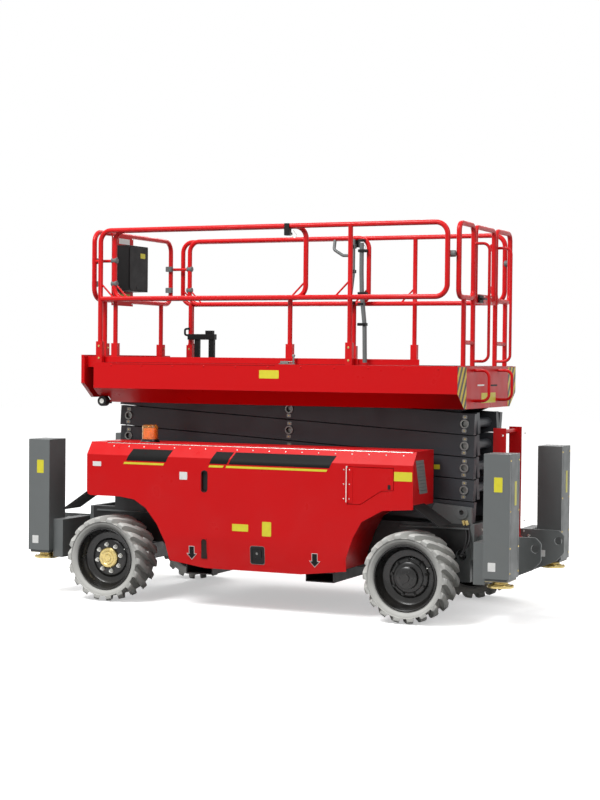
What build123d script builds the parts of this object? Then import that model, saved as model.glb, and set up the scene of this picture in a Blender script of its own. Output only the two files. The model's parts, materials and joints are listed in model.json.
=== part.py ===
from build123d import *

import math
import os

# Rough-terrain scissor lift, parked with its platform down and its extension in.
# Millimetres. +X runs towards the ladder end, +Z is up, and the front, steered end and
# the left side lie towards -X and -Y. The origin is on the ground under the middle.

os.makedirs("parts", exist_ok=True)

# ---------------------------------------------------------------- driving dimensions
WHEELBASE = 2476.0
TRACK_OUTER = 890.0  # outer tyre face from the centre line
TYRE_RADIUS = 330.0
TYRE_WIDTH = 305.0
TYRE_WALL = 285.0  # radius where the sidewall meets the shoulder
RIM_FLANGE = 238.0
RIM_BARREL = 214.0
RIM_WELL = 190.0
RIM_SHEET = 8.0
HUB_RADIUS = 92.0
SPINDLE_RADIUS = 40.0
SPINDLE_FIT = 0.05
KINGPIN_WIDTH = 590.0  # kingpin from the centre line
KNUCKLE_RADIUS = 52.0
AXLE_HEIGHT = 130.0
AXLE_DEPTH = 130.0
SEAT_GAP = 0.3  # between curved faces that seat on each other
PLATE = 20.0

BEAM_OUTER = 396.0  # outer face of the chassis side beams
BEAM_INNER = 340.0
BEAM_BOTTOM = 430.0
BEAM_TOP = 690.0
KEEL_BOTTOM = 330.0  # lowest line of the chassis between the axles
FRAME_FRONT = -1620.0
FRAME_REAR = 1567.0

FORK_POCKETS = (-497.0, 505.0)  # middles of the two forklift pockets
POCKET_LENGTH = 228.0
POCKET_BOTTOM = 237.0
POCKET_TOP = 315.0
POCKET_WALL = 8.0
POCKET_REACH = 700.0

PIN_REAR = 1491.0  # line of the fixed pins
PIN_FRONT = -1338.0  # line of the sliding pins with the lift folded
LOWEST_PIN = 772.0
LEVEL_PITCH = 162.0
LEVELS = 5
ARM_HEIGHT = 154.0
ARM_OVERHANG = 74.0
OUTER_ARM = (272.0, 332.0)
INNER_ARM = (200.0, 260.0)
ARM_WALL = 6.0
PIN_RADIUS = 36.0
FIXED_PIN_RADIUS = 30.0
TIE_RADIUS = 22.0
ARM_BLOCK = 70.0  # solid length of an arm on each side of a pin
PIN_BORE = 22.0
PIN_FIT = 0.05
PIN_END = 339.0
CHANNEL_OUTER = 396.0
CHANNEL_WEB = 8.0
CHANNEL_FLANGE = 10.0
SLIDER_HEIGHT = 90.0
SLIDER_LENGTH = 150.0
SLIDER_CLEARANCE = 0.3
CHANNEL_REACH = 1300.0

CYLINDER_FOOT = (600.0, 400.0)  # pin of the lift cylinder's barrel, X and Z
BARREL_RADIUS = 70.0
BARREL_LENGTH = 1180.0
ROD_RADIUS = 45.0
EYE_RADIUS = 62.0
EYE_WIDTH = 80.0
FOOT_WIDTH = 120.0
LUG_THICKNESS = 20.0
LUG_CLEARANCE = 5.0
FOOT_PIN = 30.0

HOUSING_OUTER_X = 1982.0
HOUSING_LENGTH = 193.0
HOUSING_OUTER_Y = 790.0
HOUSING_WIDTH = 237.0
HOUSING_BOTTOM = 353.0
HOUSING_TOP = 1232.0
HOUSING_WALL = 8.0
LEG_CLEARANCE = 5.0
LEG_LENGTH = 820.0
PAD_RADIUS = 95.0
PAD_THICKNESS = 15.0
PAD_BOTTOM = 285.0
LUG_END_X = 2075.0  # end of the tie-down plates
LUG_PLATE_Y = 300.0
LUG_PLATE_TOP = 610.0
TIE_DOWN_RADIUS = 30.0
CROSS_PLATE = 30.0
CROSS_BEAM_X = 1700.0  # inner face of the boxes that carry the housings
CROSS_BEAM_BOTTOM = 300.0
CROSS_BEAM_TOP = 600.0

POD_INNER = 410.0
POD_OUTER = 880.0
POD_FOLD = 1134.0
POD_TOP = 1229.0
POD_TOP_EDGE = 808.0
POD_REAR = 1297.0
POD_FRONT = -1390.0
POD_LOW_FOLD = 550.0
POD_KEEL = 308.0
POD_LOW_EDGE = 862.0
COVER_SHEET = 12.0
COVER_GAP = 4.0
POD_SHEET = 8.0
HINGE_RADIUS = 6.0
HINGE_GAP = 0.7

DECK_HALF_WIDTH = 699.0
DECK_FRONT = -1447.0
DECK_REAR = 1557.0
DECK_TOP = LOWEST_PIN + LEVELS * LEVEL_PITCH + 218.0
DECK_BEAM_TOP = DECK_TOP + 43.0
DECK_FACE_BOTTOM = DECK_TOP - 158.0
DECK_BOTTOM = DECK_TOP - 268.0
DECK_CHAMFER = 151.0
DECK_SHEET = 8.0
DECK_BEAM_WIDTH = 40.0
EXTENSION_FRONT = -1560.0
EXTENSION_REAR = 770.0
EXTENSION_HALF_WIDTH = DECK_HALF_WIDTH - 47.0
EXTENSION_DECK = DECK_TOP + 30.0
TOE_BOARD_TOP = DECK_TOP + 90.0

TUBE = 19.0  # guardrail tube radius
RAIL_TOP = DECK_TOP + 1072.0
RAIL_MIDDLE = DECK_TOP + 540.0
RAIL_BEND = 90.0
SOCKET_HEIGHT = 165.0
SOCKET_HALF = 27.0
BRACE_RADIUS = 7.0
BRACE_REACH = 115.0
HANDLE_TUBE = 11.0
HANDLE_REACH = 1652.0

SIDES = {"left": -1, "right": 1}
ENDS = {"front": -1, "rear": 1}


# ---------------------------------------------------------------- shared operations
def slab(points, y_low, y_high, mode=Mode.ADD, corner=0.0):
    """Add an outline drawn in X and Z, carried across from y_low to y_high."""
    with BuildSketch(Plane.XZ.offset(-y_high)) as outline:
        with BuildLine():
            Polyline(*points, close=True)
        make_face()
        if corner:
            fillet(outline.vertices(), radius=corner)
    extrude(outline.sketch, amount=y_high - y_low, mode=mode)


def girder(points, x_low, x_high, mode=Mode.ADD):
    """Add a section drawn in Y and Z, carried along from x_low to x_high."""
    with BuildSketch(Plane.YZ.offset(x_low)) as section:
        with BuildLine():
            Polyline(*points, close=True)
        make_face()
    extrude(section.sketch, amount=x_high - x_low, mode=mode)


def block(x, y, z, mode=Mode.ADD):
    """Add a box between two values on each axis."""
    middle = tuple((low + high) / 2 for low, high in (x, y, z))
    with Locations(middle):
        Box(*(abs(high - low) for low, high in (x, y, z)), mode=mode)


def cross_pin(x, z, radius, y_low, y_high, mode=Mode.ADD):
    """Add a round bar across the machine."""
    with BuildSketch(Plane.XZ.offset(-y_high)) as disc:
        with Locations((x, z)):
            Circle(radius)
    extrude(disc.sketch, amount=y_high - y_low, mode=mode)


def upright(x, y, radius, z_low, z_high, mode=Mode.ADD):
    """Add a round bar standing on end."""
    with BuildSketch(Plane.XY.offset(z_low)) as disc:
        with Locations((x, y)):
            Circle(radius)
    extrude(disc.sketch, amount=z_high - z_low, mode=mode)


def tube(points, radius, bends=0.0):
    """Add a round tube along points, with its corners bent to one radius."""
    with BuildLine() as route:
        if bends:
            FilletPolyline(*points, radius=bends)
        else:
            Polyline(*points)
    with BuildSketch(Plane(route.line @ 0, z_dir=route.line % 0)) as section:
        Circle(radius)
    sweep(section.sketch, path=route.line)


def tube_frame(corners, radius, bends):
    """Add a closed frame of four corners as two halves that meet mid-way."""
    first, second, third, fourth = corners
    start = tuple((a + b) / 2 for a, b in zip(first, second))
    end = tuple((a + b) / 2 for a, b in zip(third, fourth))
    tube([start, second, third, end], radius, bends)
    tube([end, fourth, first, start], radius, bends)


def between(side, low, high):
    """The pair of Y values of a piece that lies from low to high on one side."""
    return tuple(sorted((side * low, side * high)))


def save(piece, name):
    """Label a finished piece and write its file."""
    piece.part.label = name
    export_step(piece.part, f"parts/{name}.step")


# ---------------------------------------------------------------- lift geometry
span = PIN_REAR - PIN_FRONT
arm_reach = math.hypot(span, LEVEL_PITCH)
arm_slope = math.degrees(math.atan2(LEVEL_PITCH, span))
mid_x = (PIN_REAR + PIN_FRONT) / 2


def level(number):
    """Height of one row of end pins with the lift folded."""
    return LOWEST_PIN + number * LEVEL_PITCH


# ---------------------------------------------------------------- wheels and axles
wheel_middle = TRACK_OUTER - TYRE_WIDTH / 2
wheel_x = {"front": -WHEELBASE / 2, "rear": WHEELBASE / 2}


def wheel_plane(end, side):
    """Plane at a wheel's middle, with its local Y along the axle, outwards."""
    centre = (wheel_x[end], side * wheel_middle, TYRE_RADIUS)
    return Plane(centre, x_dir=(1, 0, 0), z_dir=(0, 0, side))


# Half-section of the tyre: radius and distance outwards from the wheel's middle.
half_width = TYRE_WIDTH / 2
tyre_section = [
    (RIM_BARREL + SEAT_GAP, -134),
    (RIM_FLANGE + 2, -139.5),
    (TYRE_WALL - 20, -half_width),
    (TYRE_WALL, -half_width),
    (TYRE_RADIUS - 8, -half_width + 18),
    (TYRE_RADIUS, -half_width + 40),
    (TYRE_RADIUS, half_width - 40),
    (TYRE_RADIUS - 8, half_width - 18),
    (TYRE_WALL, half_width),
    (TYRE_WALL - 20, half_width),
    (RIM_FLANGE + 2, 139.5),
    (RIM_BARREL + SEAT_GAP, 134),
]


def rim_section(hub_face):
    """Half-section of a rim with its disc, its well and the hub that it carries."""
    inner = RIM_BARREL - RIM_SHEET
    return [
        (RIM_FLANGE, -148),
        (RIM_FLANGE, -140),
        (RIM_BARREL, -135),
        (RIM_BARREL, -62),
        (RIM_WELL, -42),
        (RIM_WELL, 42),
        (RIM_BARREL, 62),
        (RIM_BARREL, 135),
        (RIM_FLANGE, 140),
        (RIM_FLANGE, 148),
        (RIM_FLANGE - 8, 148),
        (inner, 141),
        (inner, 68),
        (RIM_WELL - RIM_SHEET, 46),
        (RIM_WELL - RIM_SHEET, 12),
        (HUB_RADIUS + 20, 12),
        (HUB_RADIUS + 20, 20),
        (HUB_RADIUS - 26, 20),
        (HUB_RADIUS - 32, hub_face),
        (0, hub_face),
        (0, hub_face - 12),
        (SPINDLE_RADIUS + SPINDLE_FIT, hub_face - 12),
        (SPINDLE_RADIUS + SPINDLE_FIT, -45),
        (HUB_RADIUS, -45),
        (HUB_RADIUS, -2),
        (RIM_WELL - RIM_SHEET, -2),
        (RIM_WELL - RIM_SHEET, -46),
        (inner, -68),
        (inner, -141),
        (RIM_FLANGE - 8, -148),
    ]


hub_faces = {"front": 40.0, "rear": 62.0}
for end in ENDS:
    for side_name, side in SIDES.items():
        plane = wheel_plane(end, side)
        for kind, section in (("tyre", tyre_section), ("rim", rim_section(hub_faces[end]))):
            with BuildPart() as wheel_piece:
                with BuildSketch(plane):
                    with BuildLine():
                        Polyline(*section, close=True)
                    make_face()
                revolve(axis=Axis(plane.origin, plane.y_dir))
            save(wheel_piece, f"{kind}_{end}_{side_name}")

# The steered axle carries a forked end round each kingpin, the rear axle its spindles.
axle_low = TYRE_RADIUS - AXLE_HEIGHT / 2
axle_high = TYRE_RADIUS + AXLE_HEIGHT / 2
fork_inner = KINGPIN_WIDTH - KNUCKLE_RADIUS - 12
fork_outer = KINGPIN_WIDTH + 40
with BuildPart() as front_axle:
    front_x = wheel_x["front"]
    slab(
        [
            (front_x - AXLE_DEPTH / 2, axle_low),
            (front_x + AXLE_DEPTH / 2, axle_low),
            (front_x + AXLE_DEPTH / 2, axle_high),
            (front_x - AXLE_DEPTH / 2, axle_high),
        ],
        -fork_inner,
        fork_inner,
    )
    for side in SIDES.values():
        for fork_low in (axle_low - PLATE, axle_high):
            block(
                (front_x - 45, front_x + 45),
                between(side, fork_inner - 40, fork_outer),
                (fork_low, fork_low + PLATE),
            )
        # Mounting pad up to the side beam.
        block(
            (front_x - 110, front_x + 110),
            between(side, BEAM_INNER, BEAM_OUTER - 20),
            (axle_high, BEAM_BOTTOM),
        )
save(front_axle, "front_axle")

spindle_reach = {end: wheel_middle + face - 12 - 1 for end, face in hub_faces.items()}
with BuildPart() as rear_axle:
    rear_x = wheel_x["rear"]
    slab(
        [
            (rear_x - AXLE_DEPTH / 2, axle_low),
            (rear_x + AXLE_DEPTH / 2, axle_low),
            (rear_x + AXLE_DEPTH / 2, axle_high),
            (rear_x - AXLE_DEPTH / 2, axle_high),
        ],
        -fork_inner,
        fork_inner,
    )
    for side in SIDES.values():
        block(
            (rear_x - 110, rear_x + 110),
            between(side, BEAM_INNER, BEAM_OUTER - 20),
            (axle_high, BEAM_BOTTOM),
        )
        cross_pin(rear_x, TYRE_RADIUS, KNUCKLE_RADIUS + 8, *between(side, fork_inner, wheel_middle - 50))
        cross_pin(rear_x, TYRE_RADIUS, SPINDLE_RADIUS, *between(side, fork_inner, spindle_reach["rear"]))
save(rear_axle, "rear_axle")

knuckle_gap = 0.3
for side_name, side in SIDES.items():
    with BuildPart() as knuckle:
        upright(
            wheel_x["front"],
            side * KINGPIN_WIDTH,
            KNUCKLE_RADIUS,
            axle_low + knuckle_gap,
            axle_high - knuckle_gap,
        )
        cross_pin(
            wheel_x["front"],
            TYRE_RADIUS,
            SPINDLE_RADIUS,
            *between(side, KINGPIN_WIDTH, spindle_reach["front"]),
        )
        cross_pin(
            wheel_x["front"],
            TYRE_RADIUS,
            KNUCKLE_RADIUS + 8,
            *between(side, KINGPIN_WIDTH + 20, wheel_middle - 50),
        )
    save(knuckle, f"steering_knuckle_{side_name}")

# ---------------------------------------------------------------- chassis
pocket_half = POCKET_LENGTH / 2
channel_low = LOWEST_PIN - SLIDER_HEIGHT / 2 - SLIDER_CLEARANCE
channel_high = LOWEST_PIN + SLIDER_HEIGHT / 2 + SLIDER_CLEARANCE
channel_front = PIN_FRONT - SLIDER_LENGTH / 2 - 10


def c_channel(side, low, high, x_low, x_high):
    """Add a channel section open towards the middle, clear between low and high."""
    inner = OUTER_ARM[1] + 10
    web = CHANNEL_OUTER - CHANNEL_WEB
    girder(
        [
            (side * inner, low),
            (side * inner, low - CHANNEL_FLANGE),
            (side * CHANNEL_OUTER, low - CHANNEL_FLANGE),
            (side * CHANNEL_OUTER, high + CHANNEL_FLANGE),
            (side * inner, high + CHANNEL_FLANGE),
            (side * inner, high),
            (side * web, high),
            (side * web, low),
        ],
        x_low,
        x_high,
    )


with BuildPart() as chassis_frame:
    for side in SIDES.values():
        # Side beam with its deeper middle between the axles and at the rear.
        slab(
            [
                (FRAME_FRONT, BEAM_TOP),
                (FRAME_REAR, BEAM_TOP),
                (FRAME_REAR, 267),
                (wheel_x["rear"] + 130, 267),
                (wheel_x["rear"] + 130, BEAM_BOTTOM),
                (wheel_x["rear"] - 150, BEAM_BOTTOM),
                (wheel_x["rear"] - 250, KEEL_BOTTOM),
                (wheel_x["front"] + 420, KEEL_BOTTOM),
                (wheel_x["front"] + 250, BEAM_BOTTOM),
                (FRAME_FRONT, BEAM_BOTTOM),
            ],
            *between(side, BEAM_INNER, BEAM_OUTER),
        )
        # Riser between the beam and the slider channel.
        block(
            (channel_front, channel_front + CHANNEL_REACH),
            between(side, OUTER_ARM[1] + 30, CHANNEL_OUTER),
            (BEAM_TOP, channel_low - CHANNEL_FLANGE),
        )
        c_channel(side, channel_low, channel_high, channel_front, channel_front + CHANNEL_REACH)
        # Tapered bracket of the fixed pin.
        slab(
            [
                (PIN_REAR - 180, BEAM_TOP),
                (PIN_REAR + 76, BEAM_TOP),
                (PIN_REAR + 76, LOWEST_PIN + 36),
                (PIN_REAR - 210, LOWEST_PIN + 62),
                (PIN_REAR - 260, BEAM_TOP + 60),
            ],
            *between(side, OUTER_ARM[1] + 10, OUTER_ARM[1] + 40),
        )
        cross_pin(PIN_REAR, LOWEST_PIN, FIXED_PIN_RADIUS, *between(side, INNER_ARM[1] + 4, OUTER_ARM[1] + 52))
        cross_pin(PIN_REAR, LOWEST_PIN, PIN_RADIUS + 12, *between(side, OUTER_ARM[1] + 40, OUTER_ARM[1] + 50))
        cross_pin(
            PIN_REAR,
            LOWEST_PIN,
            PIN_BORE - 4,
            *between(side, INNER_ARM[1], OUTER_ARM[1] + 60),
            mode=Mode.SUBTRACT,
        )
        # Hose opening in the rear side plate.
        cross_pin(1498, 463, 40, *between(side, BEAM_INNER - 5, BEAM_OUTER + 5), mode=Mode.SUBTRACT)
    # Cross members between the beams.
    for member_x in (FRAME_FRONT + 60, -900.0, 1000.0, FRAME_REAR - 60):
        member_height = (BEAM_BOTTOM + 20, BEAM_BOTTOM + 140)
        block((member_x - 50, member_x + 50), (-BEAM_INNER, BEAM_INNER), member_height)
    # Lugs of the lift cylinder's foot.
    foot_x, foot_z = CYLINDER_FOOT
    lug_inner = BARREL_RADIUS + LUG_CLEARANCE
    for side in SIDES.values():
        slab(
            [
                (foot_x - 120, KEEL_BOTTOM),
                (foot_x + 90, KEEL_BOTTOM),
                (foot_x + 60, foot_z + 55),
                (foot_x - 60, foot_z + 55),
            ],
            *between(side, lug_inner, lug_inner + LUG_THICKNESS),
        )
    cross_pin(foot_x, foot_z, FOOT_PIN, -lug_inner - LUG_THICKNESS - 8, lug_inner + LUG_THICKNESS + 8)
save(chassis_frame, "chassis_frame")

with BuildPart() as forklift_pockets:
    for pocket_x in FORK_POCKETS:
        pocket_low, pocket_high = pocket_x - pocket_half, pocket_x + pocket_half
        block((pocket_low, pocket_high), (-POCKET_REACH, POCKET_REACH), (POCKET_BOTTOM, POCKET_TOP))
        block(
            (pocket_low + POCKET_WALL, pocket_high - POCKET_WALL),
            (-POCKET_REACH - 1, POCKET_REACH + 1),
            (POCKET_BOTTOM + POCKET_WALL, POCKET_TOP - POCKET_WALL),
            mode=Mode.SUBTRACT,
        )
        # Spacers up to the keel of each side beam.
        for side in SIDES.values():
            block(
                (pocket_low + 20, pocket_high - 20),
                between(side, BEAM_INNER, BEAM_OUTER),
                (POCKET_TOP, KEEL_BOTTOM),
            )
save(forklift_pockets, "forklift_pockets")

# End frames: a cross plate on the beams' ends, two tie-down plates standing out from
# it, and a box on each side that reaches out to carry the outrigger housings.
housing_inner_x = HOUSING_OUTER_X - HOUSING_LENGTH
for end, way in ENDS.items():
    frame_end = FRAME_REAR if way > 0 else FRAME_FRONT
    with BuildPart() as end_frame:
        block((frame_end, frame_end + way * CROSS_PLATE), (-BEAM_OUTER, BEAM_OUTER), (BEAM_BOTTOM, BEAM_TOP))
        for side in SIDES.values():
            slab(
                [
                    (frame_end + way * CROSS_PLATE, LUG_PLATE_TOP),
                    (way * (LUG_END_X - 40), LUG_PLATE_TOP),
                    (way * LUG_END_X, LUG_PLATE_TOP - 40),
                    (way * LUG_END_X, 440),
                    (way * (LUG_END_X - 60), 375),
                    (way * 1720, 250),
                    (frame_end + way * CROSS_PLATE, BEAM_BOTTOM - 60),
                ],
                *between(side, LUG_PLATE_Y, LUG_PLATE_Y + PLATE),
                corner=28,
            )
            block(
                (way * CROSS_BEAM_X, way * housing_inner_x),
                between(side, LUG_PLATE_Y + PLATE, HOUSING_OUTER_Y - 60),
                (CROSS_BEAM_BOTTOM, CROSS_BEAM_TOP),
            )
            cross_pin(
                way * 2030,
                530,
                TIE_DOWN_RADIUS,
                *between(side, LUG_PLATE_Y - 5, LUG_PLATE_Y + PLATE + 5),
                mode=Mode.SUBTRACT,
            )
    save(end_frame, f"{end}_end_frame")

# ---------------------------------------------------------------- outriggers
housing_mid_x = HOUSING_OUTER_X - HOUSING_LENGTH / 2
housing_mid_y = HOUSING_OUTER_Y - HOUSING_WIDTH / 2
leg_half_x = HOUSING_LENGTH / 2 - HOUSING_WALL - LEG_CLEARANCE
leg_half_y = HOUSING_WIDTH / 2 - HOUSING_WALL - LEG_CLEARANCE
for end, way in ENDS.items():
    for side_name, side in SIDES.items():
        centre_x = way * housing_mid_x
        centre_y = side * housing_mid_y
        with BuildPart() as housing:
            block(
                (centre_x - HOUSING_LENGTH / 2, centre_x + HOUSING_LENGTH / 2),
                (centre_y - HOUSING_WIDTH / 2, centre_y + HOUSING_WIDTH / 2),
                (HOUSING_BOTTOM, HOUSING_TOP),
            )
            block(
                (centre_x - HOUSING_LENGTH / 2 + HOUSING_WALL, centre_x + HOUSING_LENGTH / 2 - HOUSING_WALL),
                (centre_y - HOUSING_WIDTH / 2 + HOUSING_WALL, centre_y + HOUSING_WIDTH / 2 - HOUSING_WALL),
                (HOUSING_BOTTOM - 1, HOUSING_TOP - HOUSING_WALL),
                mode=Mode.SUBTRACT,
            )
        save(housing, f"outrigger_housing_{end}_{side_name}")
        with BuildPart() as leg:
            leg_low = HOUSING_BOTTOM - 20
            block(
                (centre_x - leg_half_x, centre_x + leg_half_x),
                (centre_y - leg_half_y, centre_y + leg_half_y),
                (leg_low, leg_low + LEG_LENGTH),
            )
            # Wear pads at its top run on the housing's walls.
            pad_top = leg_low + LEG_LENGTH - 20
            pad_half_x = leg_half_x + LEG_CLEARANCE - SEAT_GAP
            block(
                (centre_x - pad_half_x, centre_x + pad_half_x),
                (centre_y - leg_half_y + 30, centre_y + leg_half_y - 30),
                (pad_top - 80, pad_top),
            )
            upright(centre_x, centre_y, 45, PAD_BOTTOM + PAD_THICKNESS, leg_low)
            upright(centre_x, centre_y, PAD_RADIUS, PAD_BOTTOM, PAD_BOTTOM + PAD_THICKNESS)
        save(leg, f"outrigger_leg_{end}_{side_name}")

# ---------------------------------------------------------------- side pods
# Outline of a pod from the side, with the two wheel arches and the sagging keel.
pod_outline = [
    (POD_FRONT, POD_TOP),
    (POD_REAR, POD_TOP),
    (POD_REAR, 821),
    (1062, 803),
    (906, 716),
    (840, 600),
    (783, 444),
    (783, 350),
    (425, POD_KEEL),
    (-359, POD_KEEL),
    (-661, 350),
    (-669, 363),
    (-704, 492),
    (-770, 619),
    (-870, 739),
    (-972, 800),
    (-1099, 817),
    (POD_FRONT + 34, 817),
    (POD_FRONT + 10, 827),
    (POD_FRONT, 851),
]


def pod_profile(inset, inner=POD_INNER, top=POD_TOP):
    """Section of a pod across the machine, drawn inside its cover by inset."""
    outside = [
        (inner, 290),
        (POD_LOW_EDGE - inset, 290),
        (POD_OUTER - inset, POD_LOW_FOLD),
        (POD_OUTER - inset, POD_FOLD - inset / 3),
        (POD_TOP_EDGE - inset, POD_TOP),
    ]
    step = [] if top == POD_TOP else [(POD_TOP_EDGE - inset, top)]
    return outside + step + [(inner, top)]


def pod_side(inset, top=POD_TOP):
    """Side outline of a pod, set in by inset everywhere but along its top."""
    with BuildSketch(Plane.XZ) as outline:
        with BuildLine():
            Polyline(*[(x, z + 60 if z == POD_TOP else z) for x, z in pod_outline], close=True)
        make_face()
        if inset:
            offset(amount=-inset, kind=Kind.INTERSECTION, mode=Mode.REPLACE)
    solid = extrude(outline.sketch, amount=POD_OUTER + 20, both=True, mode=Mode.PRIVATE)
    return solid & Pos(0, 0, top - 1000) * Box(4000, 4000, 2000, mode=Mode.PRIVATE)


def pod_band(side, profile):
    """The same length of a section drawn across one pod."""
    with BuildSketch(Plane.YZ.offset(POD_FRONT - 10)) as section:
        with BuildLine():
            Polyline(*[(side * y, z) for y, z in profile], close=True)
        make_face()
    return extrude(section.sketch, amount=POD_REAR - POD_FRONT + 20, mode=Mode.PRIVATE)


door_outline = [
    (792, 1113),
    (792, 840),
    (897, 840),
    (1053, 940),
    (1150, 950),
    (1150, 1113),
]
DOOR_GAP = 4.0
DOOR_HINGE_RADIUS = 5.0
DOOR_HINGE_X = 794.0
DOOR_HINGE_Y = -POD_OUTER - DOOR_HINGE_RADIUS - SEAT_GAP
hinge_y = POD_TOP_EDGE
hinge_z = POD_TOP + 2
POD_SET_IN = COVER_SHEET + COVER_GAP
for side_name, side in SIDES.items():
    with BuildPart() as pod:
        add(pod_side(POD_SET_IN) & pod_band(side, pod_profile(POD_SET_IN)))
        # Open behind its cover, keeping floor, ends, top and back.
        cavity = pod_profile(-30, POD_INNER + POD_SHEET, POD_TOP - POD_SHEET)
        inside = pod_side(POD_SET_IN + POD_SHEET, POD_TOP - POD_SHEET)
        add(inside & pod_band(side, cavity), mode=Mode.SUBTRACT)
        # Hinge leaf along the top edge.
        block(
            (POD_FRONT + 140, POD_REAR - 20),
            between(side, hinge_y - 50, hinge_y - HINGE_RADIUS - HINGE_GAP),
            (POD_TOP + SEAT_GAP, POD_TOP + 3),
        )
        block(
            (POD_FRONT + 140, POD_REAR - 20),
            between(side, hinge_y - 50, hinge_y - 25),
            (POD_TOP - 2, POD_TOP + 3),
        )
        # Bracket plates that carry the pod on the side beam.
        for bracket_x in (-600.0, 0.0, 600.0):
            block(
                (bracket_x - 60, bracket_x + 60),
                between(side, BEAM_OUTER, POD_INNER),
                (KEEL_BOTTOM + 60, BEAM_TOP - 20),
            )
    save(pod, f"side_pod_{side_name}")

    with BuildPart() as cover:
        skin = pod_band(side, pod_profile(0)) - pod_band(side, pod_profile(COVER_SHEET, top=POD_TOP + 1))
        add(pod_side(0) & skin)
        with BuildSketch(Plane.YZ.offset(POD_FRONT + 140)) as knuckle_ring:
            with Locations((side * hinge_y, hinge_z)):
                Circle(HINGE_RADIUS)
        extrude(knuckle_ring.sketch, amount=POD_REAR - POD_FRONT - 160)
        if side_name == "left":
            slab(door_outline, *between(side, POD_OUTER - 40, POD_OUTER + 5), mode=Mode.SUBTRACT)
        # Vent slot and grille opening.
        for vent_z in (961, 455):
            block(
                (-393, -343),
                between(side, POD_OUTER - 60, POD_OUTER + 5),
                (vent_z - 75, vent_z + 75),
                mode=Mode.SUBTRACT,
            )
    save(cover, f"side_cover_{side_name}")

with BuildPart() as access_door:
    with BuildSketch(Plane.XZ.offset(POD_OUTER - COVER_SHEET)) as door_face:
        with BuildLine():
            Polyline(*door_outline, close=True)
        make_face()
        offset(amount=-DOOR_GAP, kind=Kind.INTERSECTION, mode=Mode.REPLACE)
    extrude(door_face.sketch, amount=COVER_SHEET)
    block((DOOR_HINGE_X, DOOR_HINGE_X + 40), (-POD_OUTER - 2.5, -POD_OUTER), (850, 1105))
    upright(DOOR_HINGE_X, DOOR_HINGE_Y, DOOR_HINGE_RADIUS, 850, 1105)
save(access_door, "access_door")

# The heavy masses stand on the flat of each pod's floor.
pod_floor = POD_KEEL + POD_SET_IN + POD_SHEET
with BuildPart() as engine_block:
    block((-330, 390), (POD_INNER + 40, POD_OUTER - 90), (pod_floor, 960))
save(engine_block, "engine_block")

with BuildPart() as oil_tank:
    block((-330, 390), (-POD_OUTER + 90, -POD_INNER - 40), (pod_floor, 900))
save(oil_tank, "oil_tank")

# Each flap hangs from a pod's end wall: X and Z of its root and of its tip.
MUD_FLAPS = (
    (POD_REAR - POD_SET_IN, 840, 1490, 706),
    (POD_FRONT + POD_SET_IN, 854, -1620, 690),
)
with BuildPart() as mud_flaps:
    for side in SIDES.values():
        for edge_x, edge_z, tip_x, tip_z in MUD_FLAPS:
            slab(
                [(edge_x, edge_z), (tip_x, tip_z), (tip_x, tip_z + 8), (edge_x, edge_z + 9)],
                *between(side, 600, 862),
            )
save(mud_flaps, "mud_flaps")

BEACON = (-952.0, -670.0)
with BuildPart() as warning_beacon:
    upright(*BEACON, 78, POD_TOP, POD_TOP + 22)
    upright(*BEACON, 62, POD_TOP + 22, 1367)
save(warning_beacon, "warning_beacon")

# ---------------------------------------------------------------- lift arms
half_arm = ARM_HEIGHT / 2
arm_outline = [
    (-ARM_OVERHANG, -half_arm),
    (arm_reach + ARM_OVERHANG, -half_arm),
    (arm_reach + ARM_OVERHANG, half_arm),
    (-ARM_OVERHANG, half_arm),
]
# The topmost fixed pin sits close behind the platform's end, so that arm ends in a nose.
nosed_outline = [
    (-ARM_OVERHANG, -half_arm),
    (arm_reach - 70, -half_arm),
    (arm_reach + 10, -48),
    (arm_reach + 46, -20),
    (arm_reach + 46, 20),
    (arm_reach + 10, 48),
    (arm_reach - 70, half_arm),
    (-ARM_OVERHANG, half_arm),
]


def on_arm(front_z, rise, places):
    """Turn places along and up from an arm's front pin into X and Z."""
    slope = rise * math.radians(arm_slope)
    return [
        (
            PIN_FRONT + along * math.cos(slope) - up * math.sin(slope),
            front_z + along * math.sin(slope) + up * math.cos(slope),
        )
        for along, up in places
    ]


def arm_beams(faces, front_z, rise, outline):
    """Add the two hollow beams of one arm, drained through a slot in each floor."""
    inner, outer = faces
    for side in SIDES.values():
        slab(on_arm(front_z, rise, outline), *between(side, inner, outer))
        for start in (ARM_BLOCK, arm_reach / 2 + ARM_BLOCK):
            finish = start + arm_reach / 2 - 2 * ARM_BLOCK
            inside = half_arm - ARM_WALL
            hollow = [(start, -inside), (finish, -inside), (finish, inside), (start, inside)]
            width = between(side, inner + ARM_WALL, outer - ARM_WALL)
            slab(on_arm(front_z, rise, hollow), *width, mode=Mode.SUBTRACT)
            drain = [
                (start + 20, -half_arm - 1),
                (start + 40, -half_arm - 1),
                (start + 40, -inside + 1),
                (start + 20, -inside + 1),
            ]
            slab(on_arm(front_z, rise, drain), *between(side, inner + 20, outer - 20), mode=Mode.SUBTRACT)


def arm_rows(number):
    """X and Z of the front, middle and rear pins of one level's outer and inner arms."""
    low, high = level(number - 1), level(number)
    middle = (low + high) / 2
    outer_pins = [(PIN_FRONT, high), (mid_x, middle), (PIN_REAR, low)]
    inner_pins = [(PIN_FRONT, low), (mid_x, middle), (PIN_REAR, high)]
    return outer_pins, inner_pins


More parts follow.
